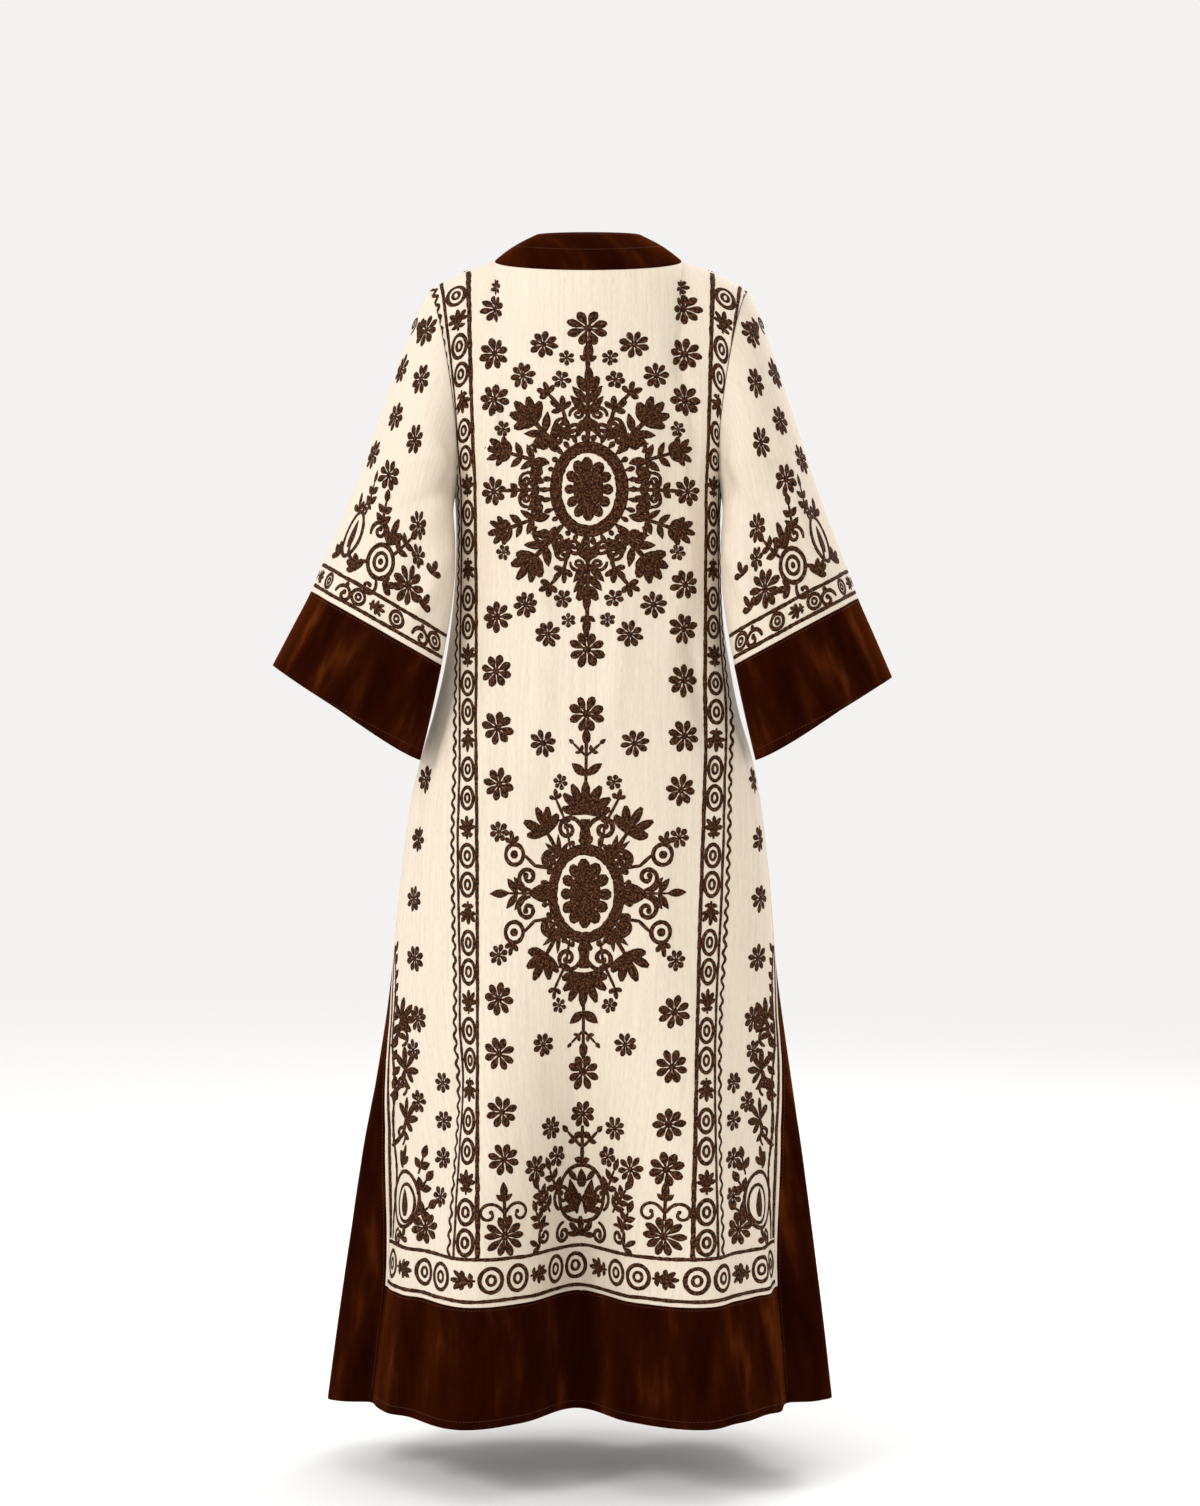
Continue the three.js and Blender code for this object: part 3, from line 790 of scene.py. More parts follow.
def crepe_material():
    """Cream crepe: fine slubs down the cloth over a close crinkled weave."""
    nodes = Nodes("crepe")
    cream = bpy.context.scene.abaya_colours.crepe
    cloth = nodes.cloth_map()
    slubs = nodes.noise(nodes.stretched(cloth, (2400, 90, 1)), 1.0, 3.0, 0.6)
    broad = nodes.noise(nodes.stretched(cloth, (260, 12, 1)), 1.0, 2.0)
    grain = nodes.noise(nodes.stretched(cloth, (1500, 1300, 1)), 1.0, 2.0, 0.6)
    tone = nodes.math("ADD", nodes.math("MULTIPLY", slubs, 0.7), nodes.math("MULTIPLY", broad, 0.3))
    colour = nodes.ramp(tone, (0.36, shade(cream, CREPE_SHADE)), (0.60, cream))
    height = nodes.math("ADD", nodes.math("MULTIPLY", slubs, 0.6), nodes.math("MULTIPLY", grain, 0.5))
    nodes.bump(height, 0.0004, 0.7)
    nodes.set(Base_Color=colour, Roughness=0.72, Specular=0.25, Sheen_Weight=0.18,
              Sheen_Roughness=0.5, Sheen_Tint=(1.0, 0.93, 0.82, 1))
    return nodes.material


def velvet_material():
    """Rust-brown velvet: nearly black face on, rust where the pile catches the light, partly from its sheen
    and partly painted as highlight streaks in its base colour.
    """
    nodes = Nodes("velvet")
    rust = bpy.context.scene.abaya_colours.velvet
    cloth = nodes.cloth_map()
    # Stretched noise: mottled nap in the bump, and painted highlight streaks in the colour
    nap_and_highlight_streaks = nodes.noise(nodes.stretched(cloth, (26, 7, 1)), 1.0, 3.0, 0.55)
    pile = nodes.noise(nodes.stretched(cloth, (1700, 1100, 1)), 1.0, 2.0, 0.7)
    tone = nodes.math("ADD", nodes.math("MULTIPLY", nap_and_highlight_streaks, 0.62), nodes.math("MULTIPLY", pile, 0.38))
    # Deep base, a middle nap tone, and the painted highlight where the streaks rise
    stops = (0.40, shade(rust, VELVET_DEEP)), (0.56, shade(rust, VELVET_MIDDLE)), (0.72, rust)
    colour = nodes.ramp(tone, *stops)
    height = nodes.math("ADD", nodes.math("MULTIPLY", pile, 0.5), nodes.math("MULTIPLY", nap_and_highlight_streaks, 1.5))
    nodes.bump(height, 0.0012, 0.8)
    nodes.set(Base_Color=colour, Roughness=0.9, Specular=0.0, Sheen_Weight=0.7,
              Sheen_Roughness=0.28, Sheen_Tint=(*shade(rust, VELVET_SHEEN), 1))
    return nodes.material


def thread_material():
    """Dark brown embroidery thread with paler flecks, ridged along its chain stitches."""
    nodes = Nodes("embroidery_thread")
    colours = bpy.context.scene.abaya_colours
    stitch = nodes.cloth_map()
    flecks = nodes.noise(nodes.stretched(stitch, (330, 380, 1)), 1.0, 3.0, 0.7)
    colour = nodes.ramp(flecks, (0.47, colours.thread), (0.66, colours.flecks))
    wave = nodes.noise(nodes.stretched(stitch, (1300, 1500, 1)), 1.0, 1.0)
    nodes.bump(wave, 0.0007, 0.9)
    nodes.set(Base_Color=colour, Roughness=0.7, Specular=0.06)
    return nodes.material


def plain_material(name, colour, roughness):
    nodes = Nodes(name)
    nodes.set(Base_Color=(*colour, 1), Roughness=roughness, Specular=0.2)
    return nodes.material


# The studio
CAMERA_PLACE = (-0.0192, 3.5, -0.63)
CAMERA_FOCUS = 2728
IMAGE_HEIGHT = 1506
SENSOR = 24
FLOOR_SIZE = 16
LIGHTS = (
    ("key_light", (2.7, 2.3, 1.3), (0.0, 0.0, -0.55), 1.1, 1.0),
    ("fill_light", (-2.6, 2.4, 0.3), (0.0, 0.0, -0.7), 2.2, 0.1),
    ("rim_light", (-1.7, -2.2, 1.6), (0.0, 0.0, -0.5), 1.2, 0.65),
    ("top_light", (0.0, 0.3, 2.4), (0.0, 0.0, -0.4), 2.4, 0.2),
)
WORLD_GREY = (1.0, 0.99, 0.975, 1)
FLOOR_GREY = (0.985, 0.98, 0.97)


def aim(thing, target):
    direction = Vector(target) - thing.location
    thing.rotation_euler = direction.to_track_quat("-Z", "Y").to_euler()


def set_tones():
    """Plain tones, so that pale cloth stays pale."""
    bpy.context.scene.view_settings.view_transform = "Standard"


def set_camera():
    camera = bpy.data.cameras.new("photo_camera")
    camera.sensor_fit = "VERTICAL"
    camera.sensor_height = SENSOR
    camera.lens = SENSOR * CAMERA_FOCUS / IMAGE_HEIGHT
    camera.clip_start = 0.05
    place = bpy.data.objects.new("photo_camera", camera)
    place.location = CAMERA_PLACE
    bpy.context.scene.collection.objects.link(place)
    aim(place, (CAMERA_PLACE[0], 0, CAMERA_PLACE[2]))
    bpy.context.scene.camera = place


def set_lights():
    studio = bpy.context.scene.abaya_studio
    for name, place, target, size, share in LIGHTS:
        lamp = bpy.data.lights.new(name, "AREA")
        lamp.size = size
        lamp.energy = studio.key_power * share
        holder = bpy.data.objects.new(name, lamp)
        holder.location = place
        bpy.context.scene.collection.objects.link(holder)
        aim(holder, target)
    world = bpy.data.worlds.new("studio")
    world.use_nodes = True
    background = world.node_tree.nodes["Background"]
    background.inputs["Color"].default_value = WORLD_GREY
    background.inputs["Strength"].default_value = studio.ambient
    bpy.context.scene.world = world


def set_floor():
    height = bpy.context.scene.abaya_studio.floor_height
    bpy.ops.object.select_all(action="DESELECT")
    bpy.ops.mesh.primitive_plane_add(size=FLOOR_SIZE, location=(0, 0, height))
    floor = bpy.context.active_object
    floor.name = "studio_floor"
    floor.data.materials.append(plain_material("floor", FLOOR_GREY, 0.85))


# The cloth as a lattice, measured across and up the flat piece
LATTICE_STEP = 3.0
PLUMB_LINE = 150
PLUMB_HEIGHTS = (BAND_TOP_Z, -938, -638, UNDERARM_Z, 0)
PLUMB_HALVES = {1: (133, 136, 139, 142, 154), -1: (126, 136, 147, 149, 160)}


def plumb_measure(piece):
    """The measure across the back, stretched so that its borders hang plumb over the folds."""
    across = piece.across.copy()
    middle = across.shape[1] // 2
    for side, columns in ((-1, slice(middle, None, -1)), (1, slice(middle, None))):
        halves = np.interp(piece.height[:, middle], PLUMB_HEIGHTS, PLUMB_HALVES[side])
        for row, half in enumerate(halves):
            x = np.maximum.accumulate((piece.grid[row, columns, 0] - TOP_CENTRE_X) * side)
            reach = np.interp(half, x, across[row, columns] * side)
            across[row, columns] *= PLUMB_LINE / reach
    return across


def front_measure(piece):
    """The measure across a front, kept plumb above the underarm, where the collar cuts it slantwise."""
    across = piece.across.copy()
    distance = np.abs(piece.grid[..., 0] - TOP_CENTRE_X)
    order = np.argsort(distance[YOKE_STEPS])
    known, measure = distance[YOKE_STEPS][order], across[YOKE_STEPS][order]
    rows = distance[:YOKE_STEPS]
    across[:YOKE_STEPS] = np.interp(rows, known, measure) + np.maximum(rows - known[-1], 0)
    return across


class Surface:
    """Finds points on the outside of a piece of cloth from places on the flat piece."""

    def __init__(self, piece):
        self.piece = piece
        across, height = piece.across, piece.height
        if piece.name == "back_panel":
            across = plumb_measure(piece)
        elif piece.name.startswith("front_panel"):
            across = front_measure(piece)
        flip = -1 if across[0, 0] > across[0, -1] else 1
        fields = np.concatenate([piece.grid, piece.normals, height[..., None]], axis=-1)[:, ::flip]
        across = across[:, ::flip]
        self.top_row = across[0], fields[0, :, 6]
        self.edges = {1: (fields[::-1, -1, 6], across[::-1, -1]), -1: (fields[::-1, 0, 6], across[::-1, 0])}
        self.s = np.arange(across.min(), across.max() + LATTICE_STEP, LATTICE_STEP)
        self.h = np.arange(height.min(), height.max() + LATTICE_STEP, LATTICE_STEP)
        rows = [[np.interp(self.s, across[i], fields[i, :, k]) for k in range(7)] for i in range(len(across))]
        rows = np.array(rows)[::-1]
        table = np.empty((len(self.h), len(self.s), 6))
        for j in range(len(self.s)):
            for k in range(6):
                table[:, j, k] = np.interp(self.h, rows[:, 6, j], rows[:, k, j])
        self.table = table

    def top(self, place):
        """The height of the upper edge above a place across the cloth."""
        return float(np.interp(place, *self.top_row))

    def edge(self, height, side=1):
        """How far across the cloth one of its side edges lies at a height."""
        return np.interp(height, *self.edges[side])

    def at(self, places):
        """World points for places given as across, up and out, in millimetres."""
        column = np.clip((places[:, 0] - self.s[0]) / LATTICE_STEP, 0, len(self.s) - 1.001)
        row = np.clip((places[:, 1] - self.h[0]) / LATTICE_STEP, 0, len(self.h) - 1.001)
        i, j = row.astype(int), column.astype(int)
        u, v = (column - j)[:, None], (row - i)[:, None]
        low = self.table[i, j] * (1 - u) + self.table[i, j + 1] * u
        high = self.table[i + 1, j] * (1 - u) + self.table[i + 1, j + 1] * u
        both = low * (1 - v) + high * v
        normal = both[:, 3:] / np.linalg.norm(both[:, 3:], axis=1, keepdims=True)
        return both[:, :3] + normal * (self.piece.wall[1] + places[:, 2:3])


# Stitched pads, modelled once each and then repeated
PAD_PROFILES = {
    "petal": (0.14, 0.44, 0.80, 1.0, 0.90, 0.36),
    "leaf": (0.14, 0.68, 1.0, 0.96, 0.64, 0.10),
    "bud": (0.50, 0.92, 1.0, 0.86, 0.56, 0.12),
    "disc": (0.44, 0.86, 1.0, 1.0, 0.86, 0.44),
}


def pick(thing, wanted):
    """Selects only the corners whose places are wanted."""
    shape = bmesh.from_edit_mesh(thing.data)
    for corner in shape.verts:
        corner.select = wanted(corner.co)
    shape.select_flush_mode()
    bmesh.update_edit_mesh(thing.data)


def pick_base_lines(thing):
    """Selects the lengthwise lines inside the base of a pad."""
    shape = bmesh.from_edit_mesh(thing.data)
    for line in shape.edges:
        first, second = line.verts
        lengthwise = abs(first.co.y - second.co.y) > 0.01
        line.select = lengthwise and max(first.co.z, second.co.z) < 0.1 and all(
            abs(face.normal.z) > 0.9 for face in line.link_faces)
    bmesh.update_edit_mesh(thing.data)


def from_lowest(face):
    """The same face, started at its lowest corner."""
    start = face.index(min(face))
    return face[start:] + face[:start]


def model_pad(profile):
    """A raised pad one unit long and wide, from its base at 0: the corners and faces of its mesh."""
    bpy.ops.object.select_all(action="DESELECT")
    rows = len(profile)
    bpy.ops.mesh.primitive_grid_add(x_subdivisions=3, y_subdivisions=rows - 1, size=1, location=(0, 0, 0))
    pad = bpy.context.active_object
    bpy.ops.object.mode_set(mode="EDIT")
    bpy.ops.mesh.select_mode(type="VERT")
    for row, width in enumerate(profile):
        line = row / (rows - 1) - 0.5
        pick(pad, lambda place: abs(place.y - line) < 0.01)
        bpy.ops.transform.resize(value=(width, 1, 1))
    bpy.ops.mesh.select_all(action="SELECT")
    bpy.ops.mesh.extrude_region_move(TRANSFORM_OT_translate={"value": (0, 0, 0.55)})
    inner = {row: 0.3 * width for row, width in enumerate(profile) if 0 < row < rows - 1}

    def in_crown(place):
        row = round((place.y + 0.5) * (rows - 1))
        return place.z > 0.5 and abs(place.x) < inner.get(row, 0)

    pick(pad, in_crown)
    bpy.ops.transform.translate(value=(0, 0, 0.45))
    bpy.ops.mesh.select_mode(type="EDGE")
    bpy.ops.mesh.select_all(action="DESELECT")
    pick_base_lines(pad)
    bpy.ops.mesh.dissolve_edges(use_verts=True)
    bpy.ops.object.mode_set(mode="OBJECT")
    mesh = pad.data
    corners = np.array([(v.co.x, v.co.y + 0.5, v.co.z) for v in mesh.vertices])
    # Dissolving leaves the faces in an order that varies from run to run
    faces = sorted(from_lowest(tuple(face.vertices)) for face in mesh.polygons)
    bpy.data.objects.remove(pad)
    bpy.data.meshes.remove(mesh)
    return corners, faces


STRIP_SECTION = ((-0.5, 0.0), (-0.46, 0.6), (-0.2, 1.0), (0.2, 1.0), (0.46, 0.6), (0.5, 0.0))
STRIP_STEP = 4.2


def spaced(line, step=STRIP_STEP):
    """The same line with even spacing."""
    line = np.asarray(line, float)
    run = np.concatenate([[0], np.cumsum(np.linalg.norm(np.diff(line, axis=0), axis=1))])
    count = max(2, int(round(run[-1] / step)) + 1)
    at = np.linspace(0, run[-1], count)
    return np.stack([np.interp(at, run, line[:, 0]), np.interp(at, run, line[:, 1])], axis=1), at


class Needlework:
    """Raised stitching on one piece, laid out flat in millimetres across and up the cloth."""

    def __init__(self, surface, seed):
        thread = bpy.context.scene.abaya_thread
        self.surface, self.pads = surface, pads()
        self.rise, self.sink, self.weight = thread.rise / MM, thread.sink / MM, thread.weight
        self.corners, self.faces, self.map, self.count = [], [], [], 0
        self.random = np.random.default_rng(seed)

    def vary(self, share):
        return 1 + share * self.random.uniform(-1, 1)

    def add(self, corners, faces, flat):
        self.corners.append(corners)
        self.faces += [tuple(corner + self.count for corner in face) for face in faces]
        self.map.append(flat + self.random.uniform(0, 900, 2))
        self.count += len(corners)

    def pad(self, kind, x, y, turn, length, width, extra=0.0):
        """A pad from its base at x, y, pointing away from straight up by turn degrees clockwise."""
        corners, faces = self.pads[kind]
        turn = math.radians(turn + 4 * self.random.uniform(-1, 1))
        length, width = length * self.vary(0.05), width * self.vary(0.08)
        along, aside = corners[:, 1] * length, corners[:, 0] * width
        aside = aside + self.random.uniform(-0.35, 0.35, len(aside))
        placed = np.stack([
            x + along * math.sin(turn) + aside * math.cos(turn),
            y + along * math.cos(turn) - aside * math.sin(turn),
            corners[:, 2] * (self.sink + self.rise + extra) - self.sink,
        ], axis=1)
        self.add(placed, faces, np.stack([along, aside], axis=1))

    def strip(self, line, width, closed=False, ends=0.5, rise=None, ragged=0.12, step=STRIP_STEP):
        """A raised line of stitches along a path, tapered towards its ends by a share of its width."""
        width = width * self.weight
        rise = self.rise if rise is None else rise
        line, run = spaced(line, step)
        if closed:
            line, run = line[:-1], run[:-1]
            ahead = np.roll(line, -1, axis=0) - np.roll(line, 1, axis=0)
        else:
            ahead = np.gradient(line, axis=0)
        ahead /= np.linalg.norm(ahead, axis=1, keepdims=True)
        aside = np.stack([ahead[:, 1], -ahead[:, 0]], axis=1)
        count = len(line)
        widths = width * (1 + ragged * self.random.uniform(-1, 1, count))
        if not closed:
            near_end = np.minimum(run, run[-1] - run) / max(width, 1e-6)
            widths = widths * (1 - ends * (1 - smoothstep(near_end / 1.2)))
        section = np.array(STRIP_SECTION)
        flat = line[:, None] + aside[:, None] * (section[:, 0][None, :, None] * widths[:, None, None])
        out = np.broadcast_to(section[:, 1] * (self.sink + rise) - self.sink, (count, len(section)))
        corners = np.concatenate([flat, out[..., None]], axis=2).reshape(-1, 3)
        size = len(section)
        faces = []
        for i in range(count if closed else count - 1):
            for k in range(size):
                a, b = i * size + k, i * size + (k + 1) % size
                c, d = (i + 1) % count * size + (k + 1) % size, (i + 1) % count * size + k
                faces.append((a, b, c, d))
        if not closed:
            end = (count - 1) * size
            faces += [(0, 5, 4, 1), (1, 4, 3, 2)]
            faces += [(end, end + 1, end + 4, end + 5), (end + 1, end + 2, end + 3, end + 4)]
        spread = section[:, 0][None, :] * widths[:, None]
        run = np.broadcast_to(run[:, None], spread.shape)
        self.add(corners, faces, np.stack([run, spread], axis=2).reshape(-1, 2))

    def ring(self, x, y, half_x, half_y, width):
        turn = np.linspace(0, 2 * math.pi, 33)
        line = np.stack([x + half_x * np.cos(turn), y + half_y * np.sin(turn)], axis=1)
        self.strip(line, width, closed=True, step=min(3.6, 0.6 * min(half_x, half_y)))

    def flower(self, x, y, radius, petals=8, turn=0.0, core=0.17):
        """Round petals about a small eye."""
        width = radius * (3.8 / petals)
        for petal in range(petals):
            angle = turn + 360 * petal / petals
            reach = radius * (1 - core) * self.vary(0.06)
            lean = math.radians(angle)
            start_x = x + core * radius * math.sin(lean)
            start_y = y + core * radius * math.cos(lean)
            self.pad("petal", start_x, start_y, angle, reach, width)
        eye = core * radius * 1.25
        self.pad("disc", x, y - eye, 0, eye * 2, eye * 2, extra=0.2)

    def scroll(self, x, y, turn, size, hand, width=3.4, coil=1.35):
        """A curling stalk that starts at x, y, sets off in a direction and coils to one hand."""
        t = np.linspace(0, 1, 40)
        heading = math.radians(turn) + hand * 2 * math.pi * coil * t**1.15
        pace = size * (1 - 0.72 * t) * 0.30
        across, up = np.cumsum(np.sin(heading) * pace), np.cumsum(np.cos(heading) * pace)
        line = np.stack([x + across, y + up], axis=1)
        self.strip(line, width, ends=0.35, step=3.0)
        self.pad("disc", line[-1, 0], line[-1, 1] - width * 0.75, 0, width * 1.6, width * 1.6)

    def fan(self, x, y, turn, length, leaves, spread, width=8.0, kind="petal"):
        """Leaves that open from one point, the middle one longest."""
        for i in range(leaves):
            share = 2 * i / (leaves - 1) - 1 if leaves > 1 else 0
            reach = length * (1 - 0.26 * share * share)
            self.pad(kind, x, y, turn + share * spread, reach, width)

    def sprig(self, x, y, turn, length, pairs, leaf, width=5.0, stem=2.6, tip=True):
        """A stalk with pairs of leaves and one at its tip."""
        lean = math.radians(turn)
        end_x, end_y = x + length * math.sin(lean), y + length * math.cos(lean)
        self.strip([(x, y), (end_x, end_y)], stem, ends=0.2)
        for pair in range(pairs):
            share = (pair + 0.6) / (pairs + (0.6 if tip else 0.1))
            base_x, base_y = x + (end_x - x) * share, y + (end_y - y) * share
            for hand in (-1, 1):
                self.pad("leaf", base_x, base_y, turn + hand * 52, leaf * (1 - 0.2 * share), width)
        if tip:
            self.pad("leaf", end_x, end_y, turn, leaf, width * 1.1)

    def make(self, name, material, slot):
        corners = np.concatenate(self.corners)
        flat = np.concatenate(self.map)
        faces = [face[::-1] for face in self.faces] if self.mirrored() else self.faces
        order = np.fromiter((corner for face in faces for corner in face), int)
        piece = add_mesh(name, self.surface.at(corners), faces, flat[order])
        piece.data.materials.append(material)
        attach(piece, "root")
        return piece

    def mirrored(self):
        """Whether across, up and out run the other way round on this cloth than on the flat."""
        middle = self.surface.table[len(self.surface.h) // 2, len(self.surface.s) // 2 - 4:][:9]
        above = self.surface.table[len(self.surface.h) // 2 + 4, len(self.surface.s) // 2]
        along, up, out = middle[8, :3] - middle[0, :3], above[:3] - middle[4, :3], middle[4, 3:]
        return np.dot(np.cross(along, up), out) < 0


# Motifs, from traditional rosettes, roundels, palmettes and scrolls
def roundel(work, x, y, half_x, half_y):
    """A ring about a smaller, closer one."""
    work.ring(x, y, half_x, half_y, 4.0)
    work.ring(x, y, half_x * 0.38, half_y * 0.40, 3.2)


def blossom(work, x, y, turn, size):
    """A small bell-shaped flower that fills a border, on two leaves."""
    lean = math.radians(turn)
    ahead = np.array([math.sin(lean), math.cos(lean)])
    foot = np.array([x, y]) - ahead * size * 1.02
    heart = foot + ahead * size * 0.85
    work.strip([foot, heart], 2.8, ends=0.2)
    work.fan(*heart, turn, size * 1.12, 5, 76, size * 0.42)
    work.fan(*(foot + ahead * size * 0.3), turn, size * 0.85, 2, 78, size * 0.40, kind="leaf")
    work.pad("disc", *(heart - ahead * size * 0.34), turn, size * 0.7, size * 0.8)


def border_motifs(work, places, turn, half_x, half_y):
    """Pairs of roundels with a blossom between each pair."""
    for index, (x, y) in enumerate(places):
        if index % 3 == 2:
            blossom(work, x, y, turn + 180 * (index % 2), 15)
        else:
            roundel(work, x, y, half_x * work.vary(0.06), half_y * work.vary(0.06))


def wavering(x0, y0, x1, y1, amount, work):
    """A straight line that wanders a little, as hand stitching does."""
    count = max(3, int(math.hypot(x1 - x0, y1 - y0) / 14))
    share = np.linspace(0, 1, count)
    drift = work.random.uniform(-amount, amount, (count, 2))
    return np.stack([x0 + (x1 - x0) * share, y0 + (y1 - y0) * share], axis=1) + drift


BORDER_PITCH = 36.0


def upright_border(work, inner, outer, top, bottom):
    """Two upright lines with motifs between them and a scalloped line outside; across may be negative."""
    side = 1 if outer > inner else -1
    work.strip(wavering(inner, top, inner, bottom, 0.4, work), 4.4, ends=0, ragged=0.16)
    work.strip(wavering(outer, top, outer, bottom, 0.4, work), 3.2, ends=0, ragged=0.16)
    height = np.arange(bottom, top, 2.0)
    wave = 2.3 * np.sin(height * 2 * math.pi / 17)
    work.strip(np.stack([outer + side * 8.5 + wave, height], axis=1), 3.2, ends=0, ragged=0.22, step=3.2)
    count = int((top - bottom) / BORDER_PITCH)
    middle = (inner + outer) / 2
    places = [(middle, bottom + BORDER_PITCH * (i + 0.55)) for i in range(count)]
    border_motifs(work, places, 0, 10.0, 14.2)


LOWER_LINE = -1296
UPPER_LINE = -1246


def foot_border(work, left, right):
    """Two lines along the foot of a panel with round motifs between them."""
    for height, width in ((LOWER_LINE, 3.6), (UPPER_LINE, 3.6)):
        work.strip(wavering(left, height, right, height, 0.5, work), width, ends=0, ragged=0.16)
    count = int((right - left) / 31.5)
    pitch = (right - left) / count
    middle = (LOWER_LINE + UPPER_LINE) / 2
    places = [(left + pitch * (i + 0.5), middle) for i in range(count)]
    border_motifs(work, places, 90, 12.6, 15.2)


def away(hand, rise, degrees_up):
    """A heading to the left or right, raised or lowered by some degrees."""
    return hand * (90 - rise * degrees_up)


def medallion_heart(work, x, y, half_x, half_y, rings):
    """A pale oval with a many-petalled flower, inside one or more heavy rings."""
    for i in range(12):
        lean = math.radians(30 * i)
        out = np.array([half_x * math.sin(lean), half_y * math.cos(lean)])
        length = float(np.linalg.norm(out))
        heading = math.degrees(math.atan2(out[0], out[1]))
        work.pad("petal", x + out[0] * 0.34, y + out[1] * 0.34, heading, length * 0.52, half_x * 0.40)
    for share in (0.09, 0.21, 0.33, 0.45):
        work.ring(x, y, half_x * share, half_y * share, 5.4)
    for ring in range(rings):
        grow = 4.6 + 8.2 * ring
        work.ring(x, y, half_x + grow, half_y + grow, 9.4)
    return half_x + 9.2 * rings, half_y + 9.2 * rings


def crown(work, x, y, half_x, half_y, count, length, width):
    """Short leaves that stand out round an oval."""
    for i in range(count):
        lean = 2 * math.pi * (i + 0.5) / count
        out = np.array([half_x * math.sin(lean), half_y * math.cos(lean)])
        heading = math.degrees(math.atan2(out[0] / half_x**2, out[1] / half_y**2))
        work.pad("petal", x + out[0] - 1, y + out[1], heading, length * work.vary(0.25), width)


def medallion_axis(work, x, y, rise, reach, last):
    """The palmette, leaves, twigs and flower above or below a medallion's heart."""
    up = 0 if rise > 0 else 180
    work.strip([(x, y + rise * reach), (x, y + rise * (reach + 36))], 11, ends=0.1)
    for hand in (-1, 1):
        turn = rise * hand
        work.scroll(x + hand * 3, y + rise * (reach + 20), up + turn * 12, 11.5, turn, width=4.6)
    work.fan(x, y + rise * (reach + 42), up, 42, 7, 80, 12.5)
    work.strip([(x, y + rise * (reach + 78)), (x, y + rise * (last - 16))], 3.4, ends=0.2)
    leaf_at = reach + 78 + (last - reach - 100) * 0.18
    for hand in (-1, 1):
        work.pad("leaf", x, y + rise * leaf_at, up + rise * hand * 50, 25, 12)
        work.sprig(x, y + rise * (leaf_at + 24), up + rise * hand * 47, 22, 1, 9, 5)
        work.flower(x + hand * 34, y + rise * (leaf_at - 8), 10, 6, 15 * hand)
    work.pad("bud", x, y + rise * (last - 36), up, 20, 11)
    work.flower(x, y + rise * last, 22.5, 8, 22.5)


def medallion_sides(work, x, y, hand, reach):
    """The bud, pair of scrolls and spray to one side."""
    work.pad("bud", x + hand * (reach - 2), y, hand * 90, 32, 25)
    for rise in (-1, 1):
        work.scroll(x + hand * (reach + 24), y + rise * 4, hand * 90, 10, -hand * rise, width=4.6)
    work.sprig(x + hand * (reach + 26), y, hand * 90, 30, 2, 27, width=9.5)


def medallion_corner(work, x, y, hand, rise, reach_x, reach_y):
    """The ringed bud, scrolls and leaf fan between the side and the axis."""
    up = 0 if rise > 0 else 180
    ring_x, ring_y = x + hand * (reach_x + 49), y + rise * 48
    start = (x + hand * reach_x * 0.86, y + rise * reach_y * 0.52)
    bow = ((start[0] + ring_x) / 2, (start[1] + ring_y) / 2 - rise * 5)
    work.strip([start, bow, (ring_x - hand * 13, ring_y)], 3.6)
    work.ring(ring_x, ring_y, 12.2, 12.8, 4.4)
    work.pad("disc", ring_x, ring_y - 5, 0, 10, 10)
    work.fan(ring_x + hand * 2, ring_y + rise * 13, up + rise * hand * 12, 17, 3, 48, 6.5)
    far = (x + hand * reach_x * 0.92, y + rise * reach_y * 0.42)
    near = (x + hand * reach_x * 0.70, y + rise * reach_y * 0.74)
    work.scroll(*far, away(hand, rise, 40), 11, -hand * rise, width=4.6)
    work.scroll(*near, away(hand, rise, 60), 9, hand * rise, width=4.2)
    lean = up + rise * hand * 30
    foot = (x + hand * reach_x * 0.72, y + rise * reach_y * 0.80)
    heart = (foot[0] + hand * 17, foot[1] + rise * 27)
    work.strip([foot, heart], 4.4, ends=0.2)
    work.fan(*foot, lean, 28, 4, 66, 7, kind="leaf")
    work.fan(*heart, lean, 37, 5, 62, 12)
    stalk = (x + hand * reach_x * 0.42, y + rise * reach_y * 0.98)
    tip = (x + hand * 40, y + rise * (reach_y + 58))
    bend = ((stalk[0] + tip[0]) / 2 - hand * 5, (stalk[1] + tip[1]) / 2)
    work.strip([stalk, bend, tip], 3.0, ends=0.3)
    work.fan(*bend, up + rise * hand * 20, 16, 2, 50, 5.5, kind="leaf")
    work.fan(*tip, up + rise * hand * 10, 14, 3, 55, 6)


def open_medallion(work, x, y):
    reach_x, reach_y = medallion_heart(work, x, y, 38, 49, 1)
    work.ring(x, y, reach_x + 1, reach_y + 1, 4.0)
    crown(work, x, y, reach_x + 2, reach_y + 2, 30, 11, 7)
    for hand in (-1, 1):
        medallion_sides(work, x, y, hand, reach_x)
        for rise in (-1, 1):
            medallion_corner(work, x, y, hand, rise, reach_x, reach_y)
    for rise in (-1, 1):
        medallion_axis(work, x, y, rise, reach_y - 2, 222)


